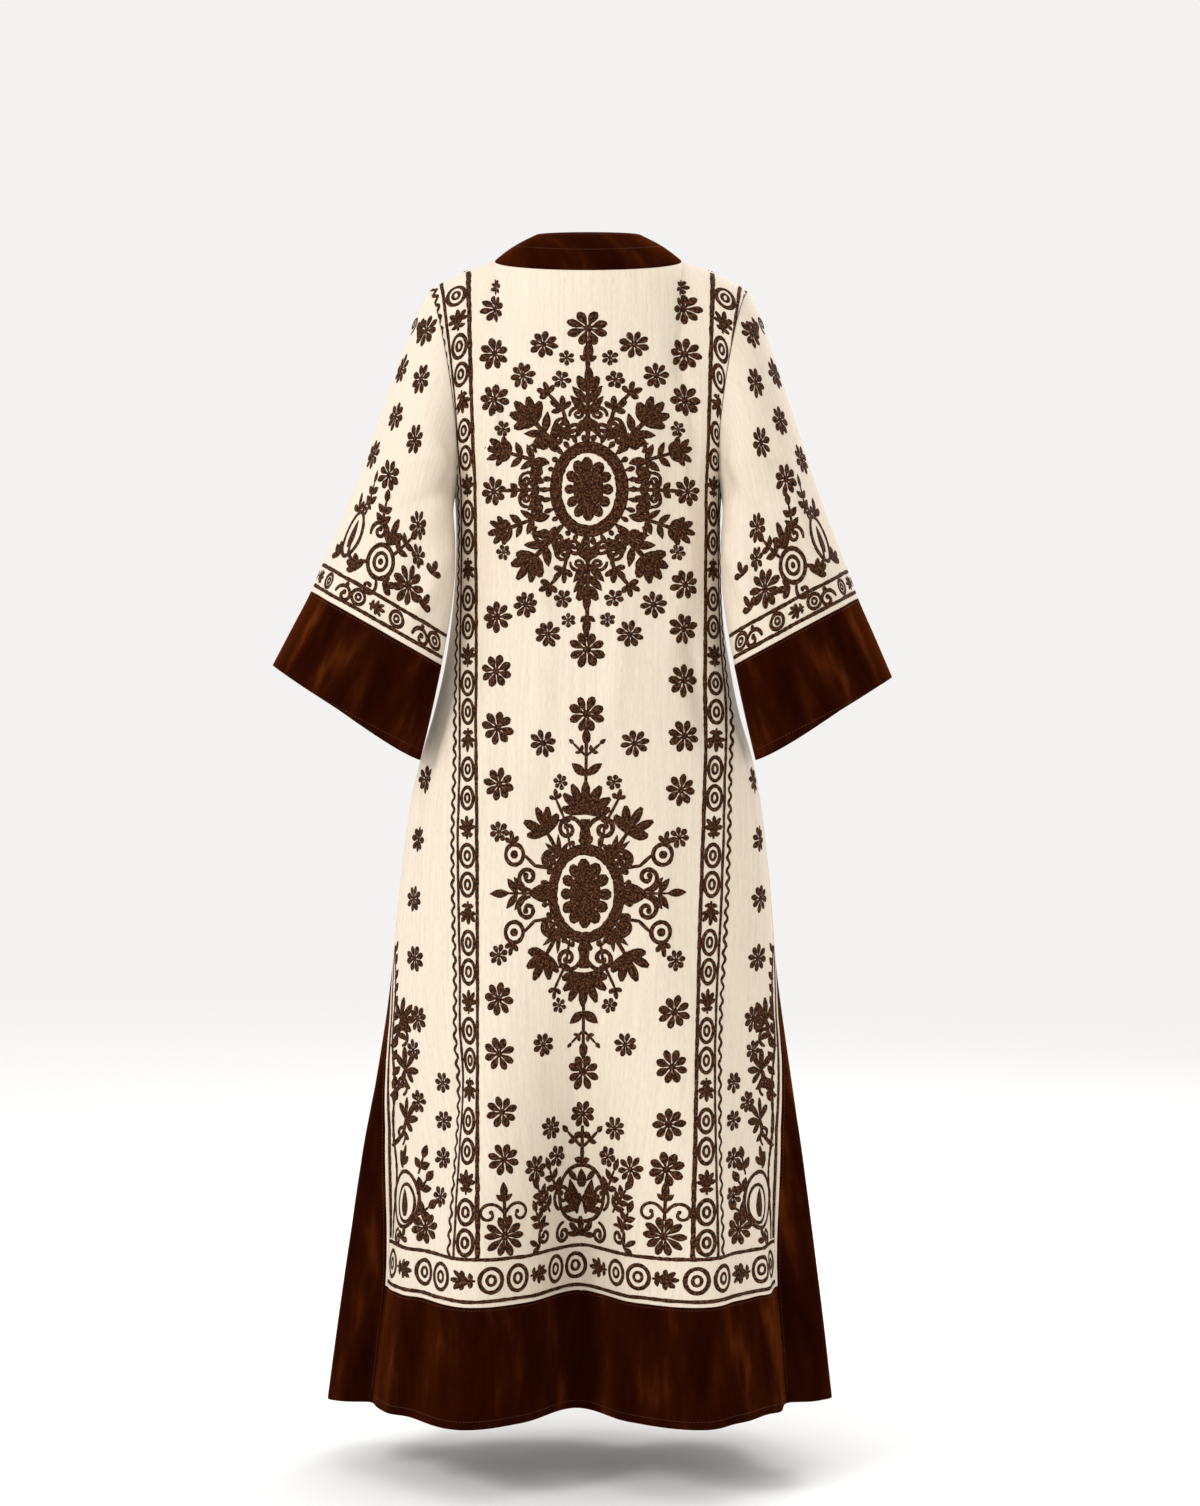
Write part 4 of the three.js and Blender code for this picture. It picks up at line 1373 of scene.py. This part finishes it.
def dense_medallion(work, x, y):
    """A medallion whose scrolls and leaves crowd together round a heavy ring."""
    reach_x, reach_y = medallion_heart(work, x, y, 34, 46, 1)
    work.ring(x, y, reach_x + 2, reach_y + 2, 4.0)
    crown(work, x, y, reach_x + 2, reach_y + 2, 30, 12, 7)
    for i in range(20):
        lean = 2 * math.pi * (i + 0.5) / 20
        out = np.array([(reach_x + 10) * math.sin(lean), (reach_y + 10) * math.cos(lean)])
        heading = math.degrees(math.atan2(out[0], out[1]))
        hand = 1 if i % 2 else -1
        work.scroll(x + out[0], y + out[1], heading - hand * 30, 6.8, hand, width=3.6, coil=1.1)
        work.pad("leaf", x + out[0] * 1.06, y + out[1] * 1.06, heading + hand * 24, 23, 8.5)
    for hand in (-1, 1):
        work.strip([(x + hand * reach_x, y), (x + hand * 106, y)], 4.0, ends=0.2)
        for far, length in ((60, 24), (74, 23), (88, 18)):
            work.fan(x + hand * far, y, hand * 90, length, 2, 42, 9, kind="leaf")
        work.flower(x + hand * 121, y, 18.5, 8, 10)
        for rise in (-1, 1):
            dense_quarter(work, x, y, hand, rise)
    for rise in (-1, 1):
        up = 0 if rise > 0 else 180
        work.strip([(x, y + rise * reach_y), (x, y + rise * 184)], 4.4, ends=0.2)
        for hand in (-1, 1):
            work.scroll(x + hand * 4, y + rise * 72, up + rise * hand * 30, 7.4, rise * hand, width=4.0)
            for height, leaf in ((92, 30), (106, 27), (120, 22)):
                work.pad("leaf", x, y + rise * height, up + rise * hand * 40, leaf, 10.5)
        work.fan(x, y + rise * 122, up, 28, 3, 34, 10)
        work.fan(x, y + rise * 158, up, 16, 2, 52, 7, kind="leaf")
        work.pad("bud", x, y + rise * 162, up, 22, 11)
        work.flower(x, y + rise * 200, 22.5, 8, 22.5)


def dense_quarter(work, x, y, hand, rise):
    """One quarter of the crowded field: spray, palmette, stalks, scrolls and small flowers."""
    up = 0 if rise > 0 else 180
    side_tip = (x + hand * 104, y + rise * 48)
    work.sprig(x + hand * 58, y + rise * 34, away(hand, rise, 17), 48, 3, 22, 9, stem=3.8, tip=False)
    work.fan(*side_tip, away(hand, rise, 12), 27, 5, 66, 9)
    work.scroll(x + hand * 70, y + rise * 20, away(hand, rise, 20), 6.4, hand * rise, width=3.6)
    work.scroll(x + hand * 62, y + rise * 44, away(hand, rise, 50), 8.0, -hand * rise, width=4.0)
    lean = up + rise * hand * 41
    work.sprig(x + hand * 36, y + rise * 50, lean, 50, 3, 30, 10.5, stem=5.0, tip=False)
    work.fan(x + hand * 66, y + rise * 84, lean, 36, 5, 60, 12.5)
    work.scroll(x + hand * 40, y + rise * 72, up + rise * hand * 15, 7.0, -rise * hand, width=3.8)
    stalk = [(x + hand * 22, y + rise * 66), (x + hand * 30, y + rise * 98), (x + hand * 47, y + rise * 118)]
    work.strip(stalk, 4.2, ends=0.3)
    for place, turn, leaf in ((stalk[1], 25, 19), (stalk[2], 38, 17)):
        work.fan(*place, up + rise * hand * turn, leaf, 4, 70, 7.5)
    work.scroll(x + hand * 22, y + rise * 88, up + rise * hand * 5, 6.4, -rise * hand, width=3.6)
    work.flower(x + hand * 31, y + rise * 136, 11.5, 6, 20)
    work.flower(x + hand * 24, y + rise * 163, 9.5, 6, 0)
    work.flower(x + hand * 108, y + rise * 77, 10, 6, 20)
    work.flower(x + hand * 79, y + rise * 143, 17, 8, 8)
    work.flower(x + hand * 50, y + rise * 181, 17, 8, 30)


def foot_medallion(work, x, y):
    """The half medallion that stands on the foot border."""
    work.ring(x, y, 33, 36, 4.4)
    work.pad("bud", x, y + 8, 0, 24, 13)
    for hand in (-1, 1):
        work.pad("leaf", x + hand * 5, y - 26, hand * 12, 46, 14)
        work.fan(x + hand * 6, y - 22, hand * 38, 30, 3, 42, 10)
        work.pad("leaf", x + hand * 6, y + 16, hand * 42, 20, 8)
        work.scroll(x + hand * 30, y - 20, hand * 60, 11, -hand, width=4.4)
        work.scroll(x + hand * 22, y - 34, hand * 100, 9, hand, width=4.2)
        work.scroll(x + hand * 50, y - 34, hand * 70, 9, hand, width=4.0)
        work.sprig(x + hand * 36, y + 2, hand * 24, 34, 2, 18, 8.5, stem=3.4)
        work.sprig(x + hand * 50, y - 18, hand * 34, 36, 3, 18, 8.5, stem=3.4)
        work.sprig(x + hand * 66, y - 40, hand * 20, 26, 2, 17, 8, stem=3.4)
        work.fan(x + hand * 70, y - 58, hand * 60, 18, 3, 60, 8)
        work.flower(x + hand * 38, y + 50, 14, 6, 20)
        work.flower(x + hand * 74, y + 38, 17, 8, 10)
        work.flower(x + hand * 48, y + 86, 15, 8, 25)
        work.sprig(x + hand * 2, y + 60, hand * 44, 26, 1, 12, 7, stem=3.4)
    work.strip([(x, y + 34), (x, y + 86)], 4.0, ends=0.2)
    for height in (40, 72):
        work.fan(x, y + height, 0, 15, 2, 66, 8, kind="leaf")
    work.flower(x, y + 101, 17, 8, 22.5)
    work.fan(x, y - 54, 0, 24, 5, 80, 8)


def footed_palmette(work, x, y):
    """A broad palmette with a stalk and two curling arms above it."""
    work.flower(x, y, 24, 10, 18)
    work.strip([(x, y + 18), (x, y + 48)], 3.6, ends=0.2)
    for hand in (-1, 1):
        work.scroll(x + hand * 1, y + 26, hand * 20, 8.4, hand, width=3.2, coil=1.1)
        work.pad("leaf", x, y + 42, hand * 52, 13, 6)
    work.pad("bud", x, y + 46, 0, 20, 10)


def edge_place(surface, side, height, inside):
    """A point of the flat cloth some way inside its side edge."""
    return float(surface.edge(height, side)) - side * inside


def side_spray(work, side, surface, lowest=UPPER_LINE, highest=-872):
    """The vine, sprays and corner scroll that climb a side edge."""
    heights = np.arange(lowest + 4, highest, 6.0)
    edge = surface.edge(heights, side) - side * 6
    work.strip(np.stack([edge, heights], axis=1), 3.0, ends=0, ragged=0.16)
    sway = edge - side * (8 + 2.5 * np.sin(heights / 19))
    work.strip(np.stack([sway, heights], axis=1), 3.0, ends=0.2, ragged=0.35)
    for height in np.arange(highest - 12, lowest + 170, -17.0):
        foot = edge_place(surface, side, height, 13)
        work.pad("leaf", foot, height, -side * work.random.uniform(20, 55), 17, 9)
    for index, (low, reach) in enumerate(((-968, 34), (-1030, 50), (-1092, 52))):
        foot = (edge_place(surface, side, low - 34, 10), low - 34)
        heart = (edge_place(surface, side, low, 14 + reach * 0.40), low)
        bend = (edge_place(surface, side, low - 16, 12 + reach * 0.34), low - 16)
        work.strip([foot, bend, heart], 4.6, ends=0.2)
        work.fan(*heart, -side * 46, 31, 5, 78, 9.5)
        work.fan(*bend, -side * 66, 25, 2, 46, 8.5, kind="leaf")
        turn = -side * (80 - 10 * index)
        work.scroll(foot[0] - side * 18, foot[1] + 2, turn, 7.0, side, width=3.8, coil=1.1)
    for height, inside in ((-1004, 52), (-1066, 64)):
        work.flower(edge_place(surface, side, height, inside), height, 14, 7, 10)
    middle = (edge_place(surface, side, -1188, 44), -1188)
    work.ring(*middle, 30, 34, 4.2)
    work.ring(middle[0] - side * 5, middle[1] - 4, 19, 23, 3.4)
    work.pad("bud", middle[0] - side * 5, middle[1] - 20, side * 6, 33, 15)
    for rise in (-1, 1):
        work.scroll(middle[0] + side * 6, middle[1] + rise * 38, side * 90, 7, -side * rise, width=3.6)
    for height, turn in ((-1140, 14), (-1164, 34), (-1192, 52)):
        foot = (edge_place(surface, side, height - 14, 70), height - 14)
        work.sprig(*foot, -side * turn, 20, 1, 17, 10)
    work.flower(edge_place(surface, side, -1218, 84), -1218, 20, 8, 12)
    work.fan(edge_place(surface, side, -1238, 44), -1238, -side * 20, 18, 3, 60, 8)
    work.fan(edge_place(surface, side, -1148, 34), -1148, -side * 10, 26, 3, 40, 9)


BORDER_INNER = 150
BORDER_OUTER = 179
BACK_ROSETTES = {
    1: (-67, -128, -187, -459, -528, -599, -669, -934, -1000, -1070, -1127),
    -1: (-67, -128, -187, -418, -474, -539, -609, -676, -950, -1016, -1085, -1139),
}
BACK_SMALL_ROSETTES = {1: (-728, -880), -1: (-735, -887)}


def embroider_back_field(work):
    for side, heights in BACK_ROSETTES.items():
        for height in heights:
            work.flower(side * 118, height, 20.5 * work.vary(0.06), 8, work.random.uniform(0, 45))
    for side, heights in BACK_SMALL_ROSETTES.items():
        for height in heights:
            work.flower(side * 118, height, 13.5, 7, work.random.uniform(0, 45))
    for side in (-1, 1):
        work.flower(side * 113, -34, 13, 7, 10)
    dense_medallion(work, 0, -301)
    open_medallion(work, 0, -804)
    for side in (-1, 1):
        work.flower(side * 57, -618, 17, 8, 12)
        work.flower(side * 57, -990, 15, 8, 30)
    foot_medallion(work, 0, -1180)
    for side in (-1, 1):
        footed_palmette(work, side * 119, -1219)


def embroider_back_borders(work):
    surface = work.surface
    for side in (-1, 1):
        top = surface.top(side * 165) - 5
        upright_border(work, side * BORDER_INNER, side * BORDER_OUTER, top, UPPER_LINE)
        side_spray(work, side, surface)
        for height in np.arange(-664, -1010, -75.0):
            edge = abs(float(surface.edge(height, side)))
            middle = (BORDER_OUTER + 14 + edge) / 2
            if edge - BORDER_OUTER > 46:
                work.flower(side * middle, height, 17, 8, work.random.uniform(0, 45))
        for height in np.arange(-1040, -1180, -46.0):
            edge = abs(float(surface.edge(height, side)))
            if edge - BORDER_OUTER > 66:
                work.flower(side * (BORDER_OUTER + 34), height, 13, 7, work.random.uniform(0, 45))
    left = float(surface.edge(LOWER_LINE, -1)) + 6
    right = float(surface.edge(LOWER_LINE, 1)) - 6
    foot_border(work, left, right)


def sleeve_border(work, edge_low, edge_high):
    """Two lines above the cuff seam with motifs between them, all round the sleeve."""
    for height in (9, 37):
        left, right = work.surface.edge(height, -1) + 3, work.surface.edge(height, 1) - 3
        work.strip(wavering(left, height, right, height, 0.4, work), 4.0, ends=0, ragged=0.16)
    left, right = edge_low + 10, edge_high - 10
    count = int((right - left) / 29)
    pitch = (right - left) / count
    for i in range(count):
        place = left + pitch * (i + 0.5)
        kind = i % 4
        if kind == 1:
            blossom(work, place, 23, 90, 11.5)
        elif kind == 3:
            work.scroll(place - 6, 14, 10, 8.0, 1, width=4.0, coil=1.2)
            work.pad("disc", place + 9, 28, 0, 6, 6)
        else:
            roundel(work, place, 23, 10.5, 9.0)


def sleeve_spray(work, place, hand):
    """A rising branch of ringed scrolls, buds and leaves on one face of a sleeve."""
    work.ring(place, 76, 20, 21, 5.0)
    work.ring(place, 76, 10, 11, 4.2)
    work.pad("disc", place, 72, 0, 8, 8)
    work.fan(place + hand * 2, 98, hand * 8, 38, 3, 34, 12)
    work.sprig(place + hand * 16, 92, hand * 36, 36, 2, 18, 9, stem=3.6)
    work.flower(place + hand * 46, 142, 18, 8, 12)
    branch = ((17, 70), (38, 58), (54, 66), (62, 88))
    work.strip([(place - hand * aside, height) for aside, height in branch], 4.6)
    work.ring(place - hand * 62, 90, 19, 30, 4.6)
    work.pad("bud", place - hand * 61, 72, -hand * 6, 36, 15)
    work.scroll(place - hand * 28, 98, -hand * 24, 9, hand, width=4.2)
    work.scroll(place - hand * 42, 126, -hand * 30, 7, -hand, width=4.0)
    work.sprig(place - hand * 48, 126, -hand * 10, 34, 2, 18, 9, stem=3.6)
    work.sprig(place - hand * 16, 112, -hand * 8, 34, 2, 17, 9, stem=3.6)
    work.fan(place - hand * 30, 52, -hand * 50, 22, 4, 62, 9)
    work.fan(place + hand * 14, 52, hand * 70, 21, 3, 48, 9)
    work.fan(place - hand * 80, 54, -hand * 30, 22, 4, 56, 9)
    work.fan(place - hand * 74, 118, -hand * 20, 24, 3, 50, 9)
    work.scroll(place + hand * 2, 54, hand * 140, 6.4, hand, width=4.0, coil=1.0)
    work.flower(place + hand * 50, 68, 25, 9, 0)
    work.flower(place + hand * 56, 108, 14, 7, 8)
    for far, height in ((78, 52), (84, 96)):
        work.fan(place + hand * far, height, hand * 20, 20, 3, 56, 9)


SLEEVE_ROSETTES = ((34, 192), (94, 178), (62, 248), (122, 236), (28, 306), (92, 306), (56, 364))


def embroider_sleeve(work):
    edge_low, edge_high = float(work.surface.edge(23, -1)), float(work.surface.edge(23, 1))
    sleeve_border(work, edge_low, edge_high)
    for hand in (-1, 1):
        reach = abs(float(work.surface.edge(74, hand)))
        sleeve_spray(work, hand * reach * 0.47, hand)
        for across, height in SLEEVE_ROSETTES:
            limit = abs(float(work.surface.edge(height, hand))) - 22
            if across < limit:
                work.flower(hand * across, height, 20 * work.vary(0.06), 8, work.random.uniform(0, 45))
    sprig_place = float(np.max(work.surface.h)) - 50
    for hand in (-1, 1):
        work.fan(hand * 34, sprig_place - 6, hand * 40, 20, 5, 70, 8.5)
        work.scroll(hand * 12, sprig_place - 12, hand * 60, 8, -hand, width=3.2)


FRONT_EDGE_BORDER = (44, 15)
FRONT_SIDE_BORDER = (92, 121)
FRONT_ROSETTE_PLACE = 68


def embroider_front(work):
    """The fronts carry the borders and rosettes of the back, with one border beside the open edge."""
    surface = work.surface
    inner, outer = FRONT_EDGE_BORDER
    upright_border(work, inner, outer, UNDERARM_Z - 8, UPPER_LINE)
    inner, outer = FRONT_SIDE_BORDER
    upright_border(work, inner, outer, surface.top(106) - 5, UPPER_LINE)
    for height in np.arange(-78, -1180, -66.0):
        radius = 18 if height > -700 else 20
        if float(surface.edge(height, -1)) < FRONT_ROSETTE_PLACE - radius - 4:
            work.flower(FRONT_ROSETTE_PLACE, height, radius * work.vary(0.06), 8, work.random.uniform(0, 45))
    for height in np.arange(-330, -900, -74.0):
        edge = float(surface.edge(height))
        if edge - outer > 50:
            work.flower((outer + 12 + edge) / 2, height, 17, 8, work.random.uniform(0, 45))
    for height in np.arange(-930, -1180, -50.0):
        work.flower(outer + 30, height, 12, 7, work.random.uniform(0, 45))
    footed_palmette(work, FRONT_ROSETTE_PLACE, -1220)
    side_spray(work, 1, surface)
    foot_border(work, 6, float(surface.edge(LOWER_LINE)) - 6)


# Folded edges of the crepe
FOLD_INSET = 2.3
FOLD_WIDTH = 4.2
FOLD_RISE = 1.0

# Rows of stitches on velvet: in from a seam, and up from the free edge
SEAM_INSET = 3.5
FREE_EDGE_INSETS = {"cuff": 12, "hem_band": 11}
FRONT_BAND_ROWS = (5, 46)


def stitch_row(work, line):
    """Separate small stitches along a path."""
    sewing = bpy.context.scene.abaya_sewing
    length, pitch = sewing.stitch_length / MM, (sewing.stitch_length + sewing.stitch_gap) / MM
    width = sewing.stitch_width / MM / work.weight
    path, run = spaced(line, 1.0)
    for start in np.arange(0, run[-1] - length, pitch):
        ends = [[np.interp(at, run, path[:, k]) for k in (0, 1)] for at in (start, start + length)]
        work.strip(ends, width, ends=0.3, rise=width * 0.6, step=length, ragged=0)


def level_row(work, height, inset=4):
    """A row of stitches across a piece at one height."""
    left, right = float(work.surface.edge(height, -1)) + inset, float(work.surface.edge(height, 1)) - inset
    stitch_row(work, [(left, height), (right, height)])


def edge_row(work, side, inside, top, bottom):
    heights = np.arange(top, bottom, -8.0)
    stitch_row(work, np.stack([work.surface.edge(heights, side) - side * inside, heights], axis=1))


def stitch_velvet(work):
    """Rows of stitches along the seams and open edges of one velvet piece."""
    name, surface = work.surface.piece.name, work.surface
    bottom, top = float(surface.h[0]), float(surface.h[-1])
    if name == "collar":
        for height in (-5, -0.5 * abs(bottom)):
            level_row(work, height)
    elif name.startswith("front_band"):
        for inside in FRONT_BAND_ROWS:
            stitch_row(work, [(inside, -6), (inside, bottom + 8)])
    elif name.startswith("side_gore"):
        for side in (-1, 1):
            edge_row(work, side, SEAM_INSET, top - 30, bottom + 10)
    for start, inset in FREE_EDGE_INSETS.items():
        if name.startswith(start):
            level_row(work, -SEAM_INSET)
            level_row(work, bottom + inset)


def stitch_crepe(work, high, low):
    """Stitches beside the side seams and armholes of one crepe panel."""
    for side in (-1, 1):
        if abs(float(work.surface.edge(-600, side))) > 60:
            edge_row(work, side, 2.6, high, low)


def fold_edges(work, sides):
    """The plain folded edges of a crepe panel, laid over the velvet beside and below it."""
    surface, width = work.surface, FOLD_WIDTH / work.weight
    heights = np.arange(BAND_TOP_Z + FOLD_INSET, GORE_TOP_Z - 6, 6.0)
    for side in sides:
        place = surface.edge(heights, side) - side * FOLD_INSET
        work.strip(np.stack([place, heights], axis=1), width, ends=0, rise=FOLD_RISE, ragged=0.04)
    left, right = (float(surface.edge(BAND_TOP_Z, side)) for side in (-1, 1))
    foot = [(left + 1, BAND_TOP_Z + FOLD_INSET), (right - 1, BAND_TOP_Z + FOLD_INSET)]
    work.strip(foot, width, ends=0, rise=FOLD_RISE, ragged=0.04)


# Pieces, each with what is sewn on it
VELVET_PIECES = ("collar", "cuff_left", "cuff_right", "hem_band_back", "hem_band_front_left",
                 "hem_band_front_right", "side_gore_left", "side_gore_right",
                 "front_band_left", "front_band_right")
MATERIALS = {}
PADS = {}


def material(name):
    makers = {"crepe": crepe_material, "velvet": velvet_material, "thread": thread_material,
              "velvet_stitch": velvet_stitch_material, "crepe_stitch": crepe_stitch_material}
    if name not in MATERIALS:
        MATERIALS[name] = makers[name]()
    return MATERIALS[name]


def velvet_stitch_material():
    return plain_material("velvet_stitching", bpy.context.scene.abaya_colours.velvet_sewing, 0.6)


def crepe_stitch_material():
    return plain_material("crepe_stitching", bpy.context.scene.abaya_colours.crepe_sewing, 0.7)


def pads():
    if not PADS:
        PADS.update({name: model_pad(profile) for name, profile in PAD_PROFILES.items()})
    return PADS


def sew_velvet(name, seed):
    shell = sew_shell(name, material("velvet"))
    work = Needlework(Surface(PIECES[name]), seed)
    stitch_velvet(work)
    stitches = work.make(f"{name}_stitching", material("velvet_stitch"), "velvet")


def sew_back():
    shell = sew_shell("back_panel", material("crepe"))
    surface = Surface(PIECES["back_panel"])
    field, borders, stitches, folds = (Needlework(surface, seed) for seed in (3, 5, 6, 8))
    embroider_back_field(field)
    embroider_back_borders(borders)
    stitch_crepe(stitches, -40, GORE_TOP_Z)
    fold_edges(folds, (-1, 1))
    field.make("back_field_embroidery", material("thread"), "crepe")
    borders.make("back_border_embroidery", material("thread"), "crepe")
    stitches.make("back_panel_stitching", material("crepe_stitch"), "crepe")
    folds.make("back_panel_folded_edge", material("crepe"), "crepe")


def sew_front(label, seed):
    name = f"front_panel_{label}"
    shell = sew_shell(name, material("crepe"))
    surface = Surface(PIECES[name])
    borders, stitches, folds = (Needlework(surface, seed + step) for step in range(3))
    embroider_front(borders)
    stitch_crepe(stitches, -60, GORE_TOP_Z)
    fold_edges(folds, (1,))
    borders.make(f"{name}_embroidery", material("thread"), "crepe")
    stitches.make(f"{name}_stitching", material("crepe_stitch"), "crepe")
    folds.make(f"{name}_folded_edge", material("crepe"), "crepe")


def sew_sleeve(label, seed):
    name = f"sleeve_{label}"
    shell = sew_shell(name, material("crepe"))
    work = Needlework(Surface(PIECES[name]), seed)
    embroider_sleeve(work)
    work.make(f"{name}_embroidery", material("thread"), "crepe")


# Settings, operators and the sidebar panel
class AbayaSewing(bpy.types.PropertyGroup):
    """How the cut pieces meet and are stitched."""

    seam_gap: bpy.props.FloatProperty(
        name="Seam gap", description="Space left between two pieces at a seam", default=0.0003, unit="LENGTH")
    stitch_length: bpy.props.FloatProperty(
        name="Stitch length", description="Length of one stitch along seams and hems", default=0.003,
        unit="LENGTH")
    stitch_gap: bpy.props.FloatProperty(
        name="Stitch gap", description="Space from one stitch to the next", default=0.0016, unit="LENGTH")
    stitch_width: bpy.props.FloatProperty(
        name="Stitch width", description="Thickness of the sewing thread", default=0.0009, unit="LENGTH")


class AbayaThread(bpy.types.PropertyGroup):
    """How thick the embroidery is worked."""

    rise: bpy.props.FloatProperty(
        name="Rise", description="How far the embroidery stands above the cloth", default=0.0008,
        unit="LENGTH")
    sink: bpy.props.FloatProperty(
        name="Sink", description="How far the embroidery reaches into the cloth", default=0.0003,
        unit="LENGTH")
    weight: bpy.props.FloatProperty(
        name="Line weight", description="Width of every stitched line against its drawn width",
        default=1.3, subtype="FACTOR")


def colour_setting(name, description, default):
    return bpy.props.FloatVectorProperty(
        name=name, description=description, default=default, size=3, min=0, max=1, subtype="COLOR")


class AbayaColours(bpy.types.PropertyGroup):
    """Colours of the cloth and the thread."""

    crepe: colour_setting("Crepe", "Cream of the panels and sleeves", CREPE_COLOUR)
    velvet: colour_setting("Velvet", "Rust of the velvet where its pile catches the light", VELVET_HIGHLIGHT)
    thread: colour_setting("Embroidery thread", "Brown of the embroidery", THREAD_COLOUR)
    flecks: colour_setting("Thread flecks", "Paler flecks in the embroidery", FLECK_COLOUR)
    crepe_sewing: colour_setting("Sewing thread on crepe", "Stitches along the crepe edges", CREPE_SEWING)
    velvet_sewing: colour_setting("Sewing thread on velvet", "Stitches along the velvet edges", VELVET_SEWING)


class AbayaStudio(bpy.types.PropertyGroup):
    """Light and floor."""

    key_power: bpy.props.FloatProperty(
        name="Key power", description="Power of the main lamp, which the others share", default=64.0,
        unit="POWER")
    ambient: bpy.props.FloatProperty(
        name="Ambient", description="Strength of the even light from all round", default=0.9,
        subtype="FACTOR")
    floor_height: bpy.props.FloatProperty(
        name="Floor height", description="Height of the floor below the shoulders", default=-1.543,
        unit="LENGTH")


class AbayaBack(bpy.types.Operator):
    """Makes the back panel with its embroidery and stitching"""

    bl_idname = "abaya.back"
    bl_label = "Back panel"

    def execute(self, context):
        sew_back()
        return {"FINISHED"}


class AbayaFronts(bpy.types.Operator):
    """Makes both front panels with their embroidery and stitching"""

    bl_idname = "abaya.fronts"
    bl_label = "Front panels"

    def execute(self, context):
        for label, seed in (("left", 7), ("right", 17)):
            sew_front(label, seed)
        return {"FINISHED"}


class AbayaSleeves(bpy.types.Operator):
    """Makes both sleeves with their embroidery"""

    bl_idname = "abaya.sleeves"
    bl_label = "Sleeves"

    def execute(self, context):
        for label, seed in (("left", 10), ("right", 20)):
            sew_sleeve(label, seed)
        return {"FINISHED"}


class AbayaVelvet(bpy.types.Operator):
    """Makes the velvet collar, cuffs, bands and gores with their stitching"""

    bl_idname = "abaya.velvet"
    bl_label = "Velvet pieces"

    def execute(self, context):
        for seed, name in enumerate(VELVET_PIECES):
            sew_velvet(name, 40 + seed)
        return {"FINISHED"}


class AbayaStage(bpy.types.Operator):
    """Sets the floor, lights and camera"""

    bl_idname = "abaya.stage"
    bl_label = "Studio"

    def execute(self, context):
        set_tones()
        set_camera()
        set_lights()
        set_floor()
        return {"FINISHED"}


STEPS = (AbayaBack, AbayaFronts, AbayaSleeves, AbayaVelvet, AbayaStage)


class AbayaPanel(bpy.types.Panel):
    """Sewing settings and the steps that make the abaya"""

    bl_idname = "VIEW3D_PT_abaya"
    bl_label = "Embroidered abaya"
    bl_space_type = "VIEW_3D"
    bl_region_type = "UI"
    bl_category = "Abaya"

    def draw(self, context):
        for name in SETTINGS:
            settings = getattr(context.scene, name)
            column = self.layout.column(align=True)
            for key in settings.bl_rna.properties.keys():
                if key not in {"rna_type", "name"}:
                    column.prop(settings, key)
        for step in STEPS:
            self.layout.operator(step.bl_idname)


SETTINGS = {"abaya_sewing": AbayaSewing, "abaya_thread": AbayaThread, "abaya_colours": AbayaColours,
            "abaya_studio": AbayaStudio}
CLASSES = (*SETTINGS.values(), *STEPS, AbayaPanel)


def register():
    for kind in CLASSES:
        bpy.utils.register_class(kind)
    for name, kind in SETTINGS.items():
        setattr(bpy.types.Scene, name, bpy.props.PointerProperty(type=kind))


def unregister():
    for name in SETTINGS:
        delattr(bpy.types.Scene, name)
    for kind in reversed(CLASSES):
        bpy.utils.unregister_class(kind)


def main():
    register()
    bpy.ops.abaya.back()
    bpy.ops.abaya.fronts()
    bpy.ops.abaya.sleeves()
    bpy.ops.abaya.velvet()
    bpy.ops.abaya.stage()


if __name__ == "__main__":
    main()
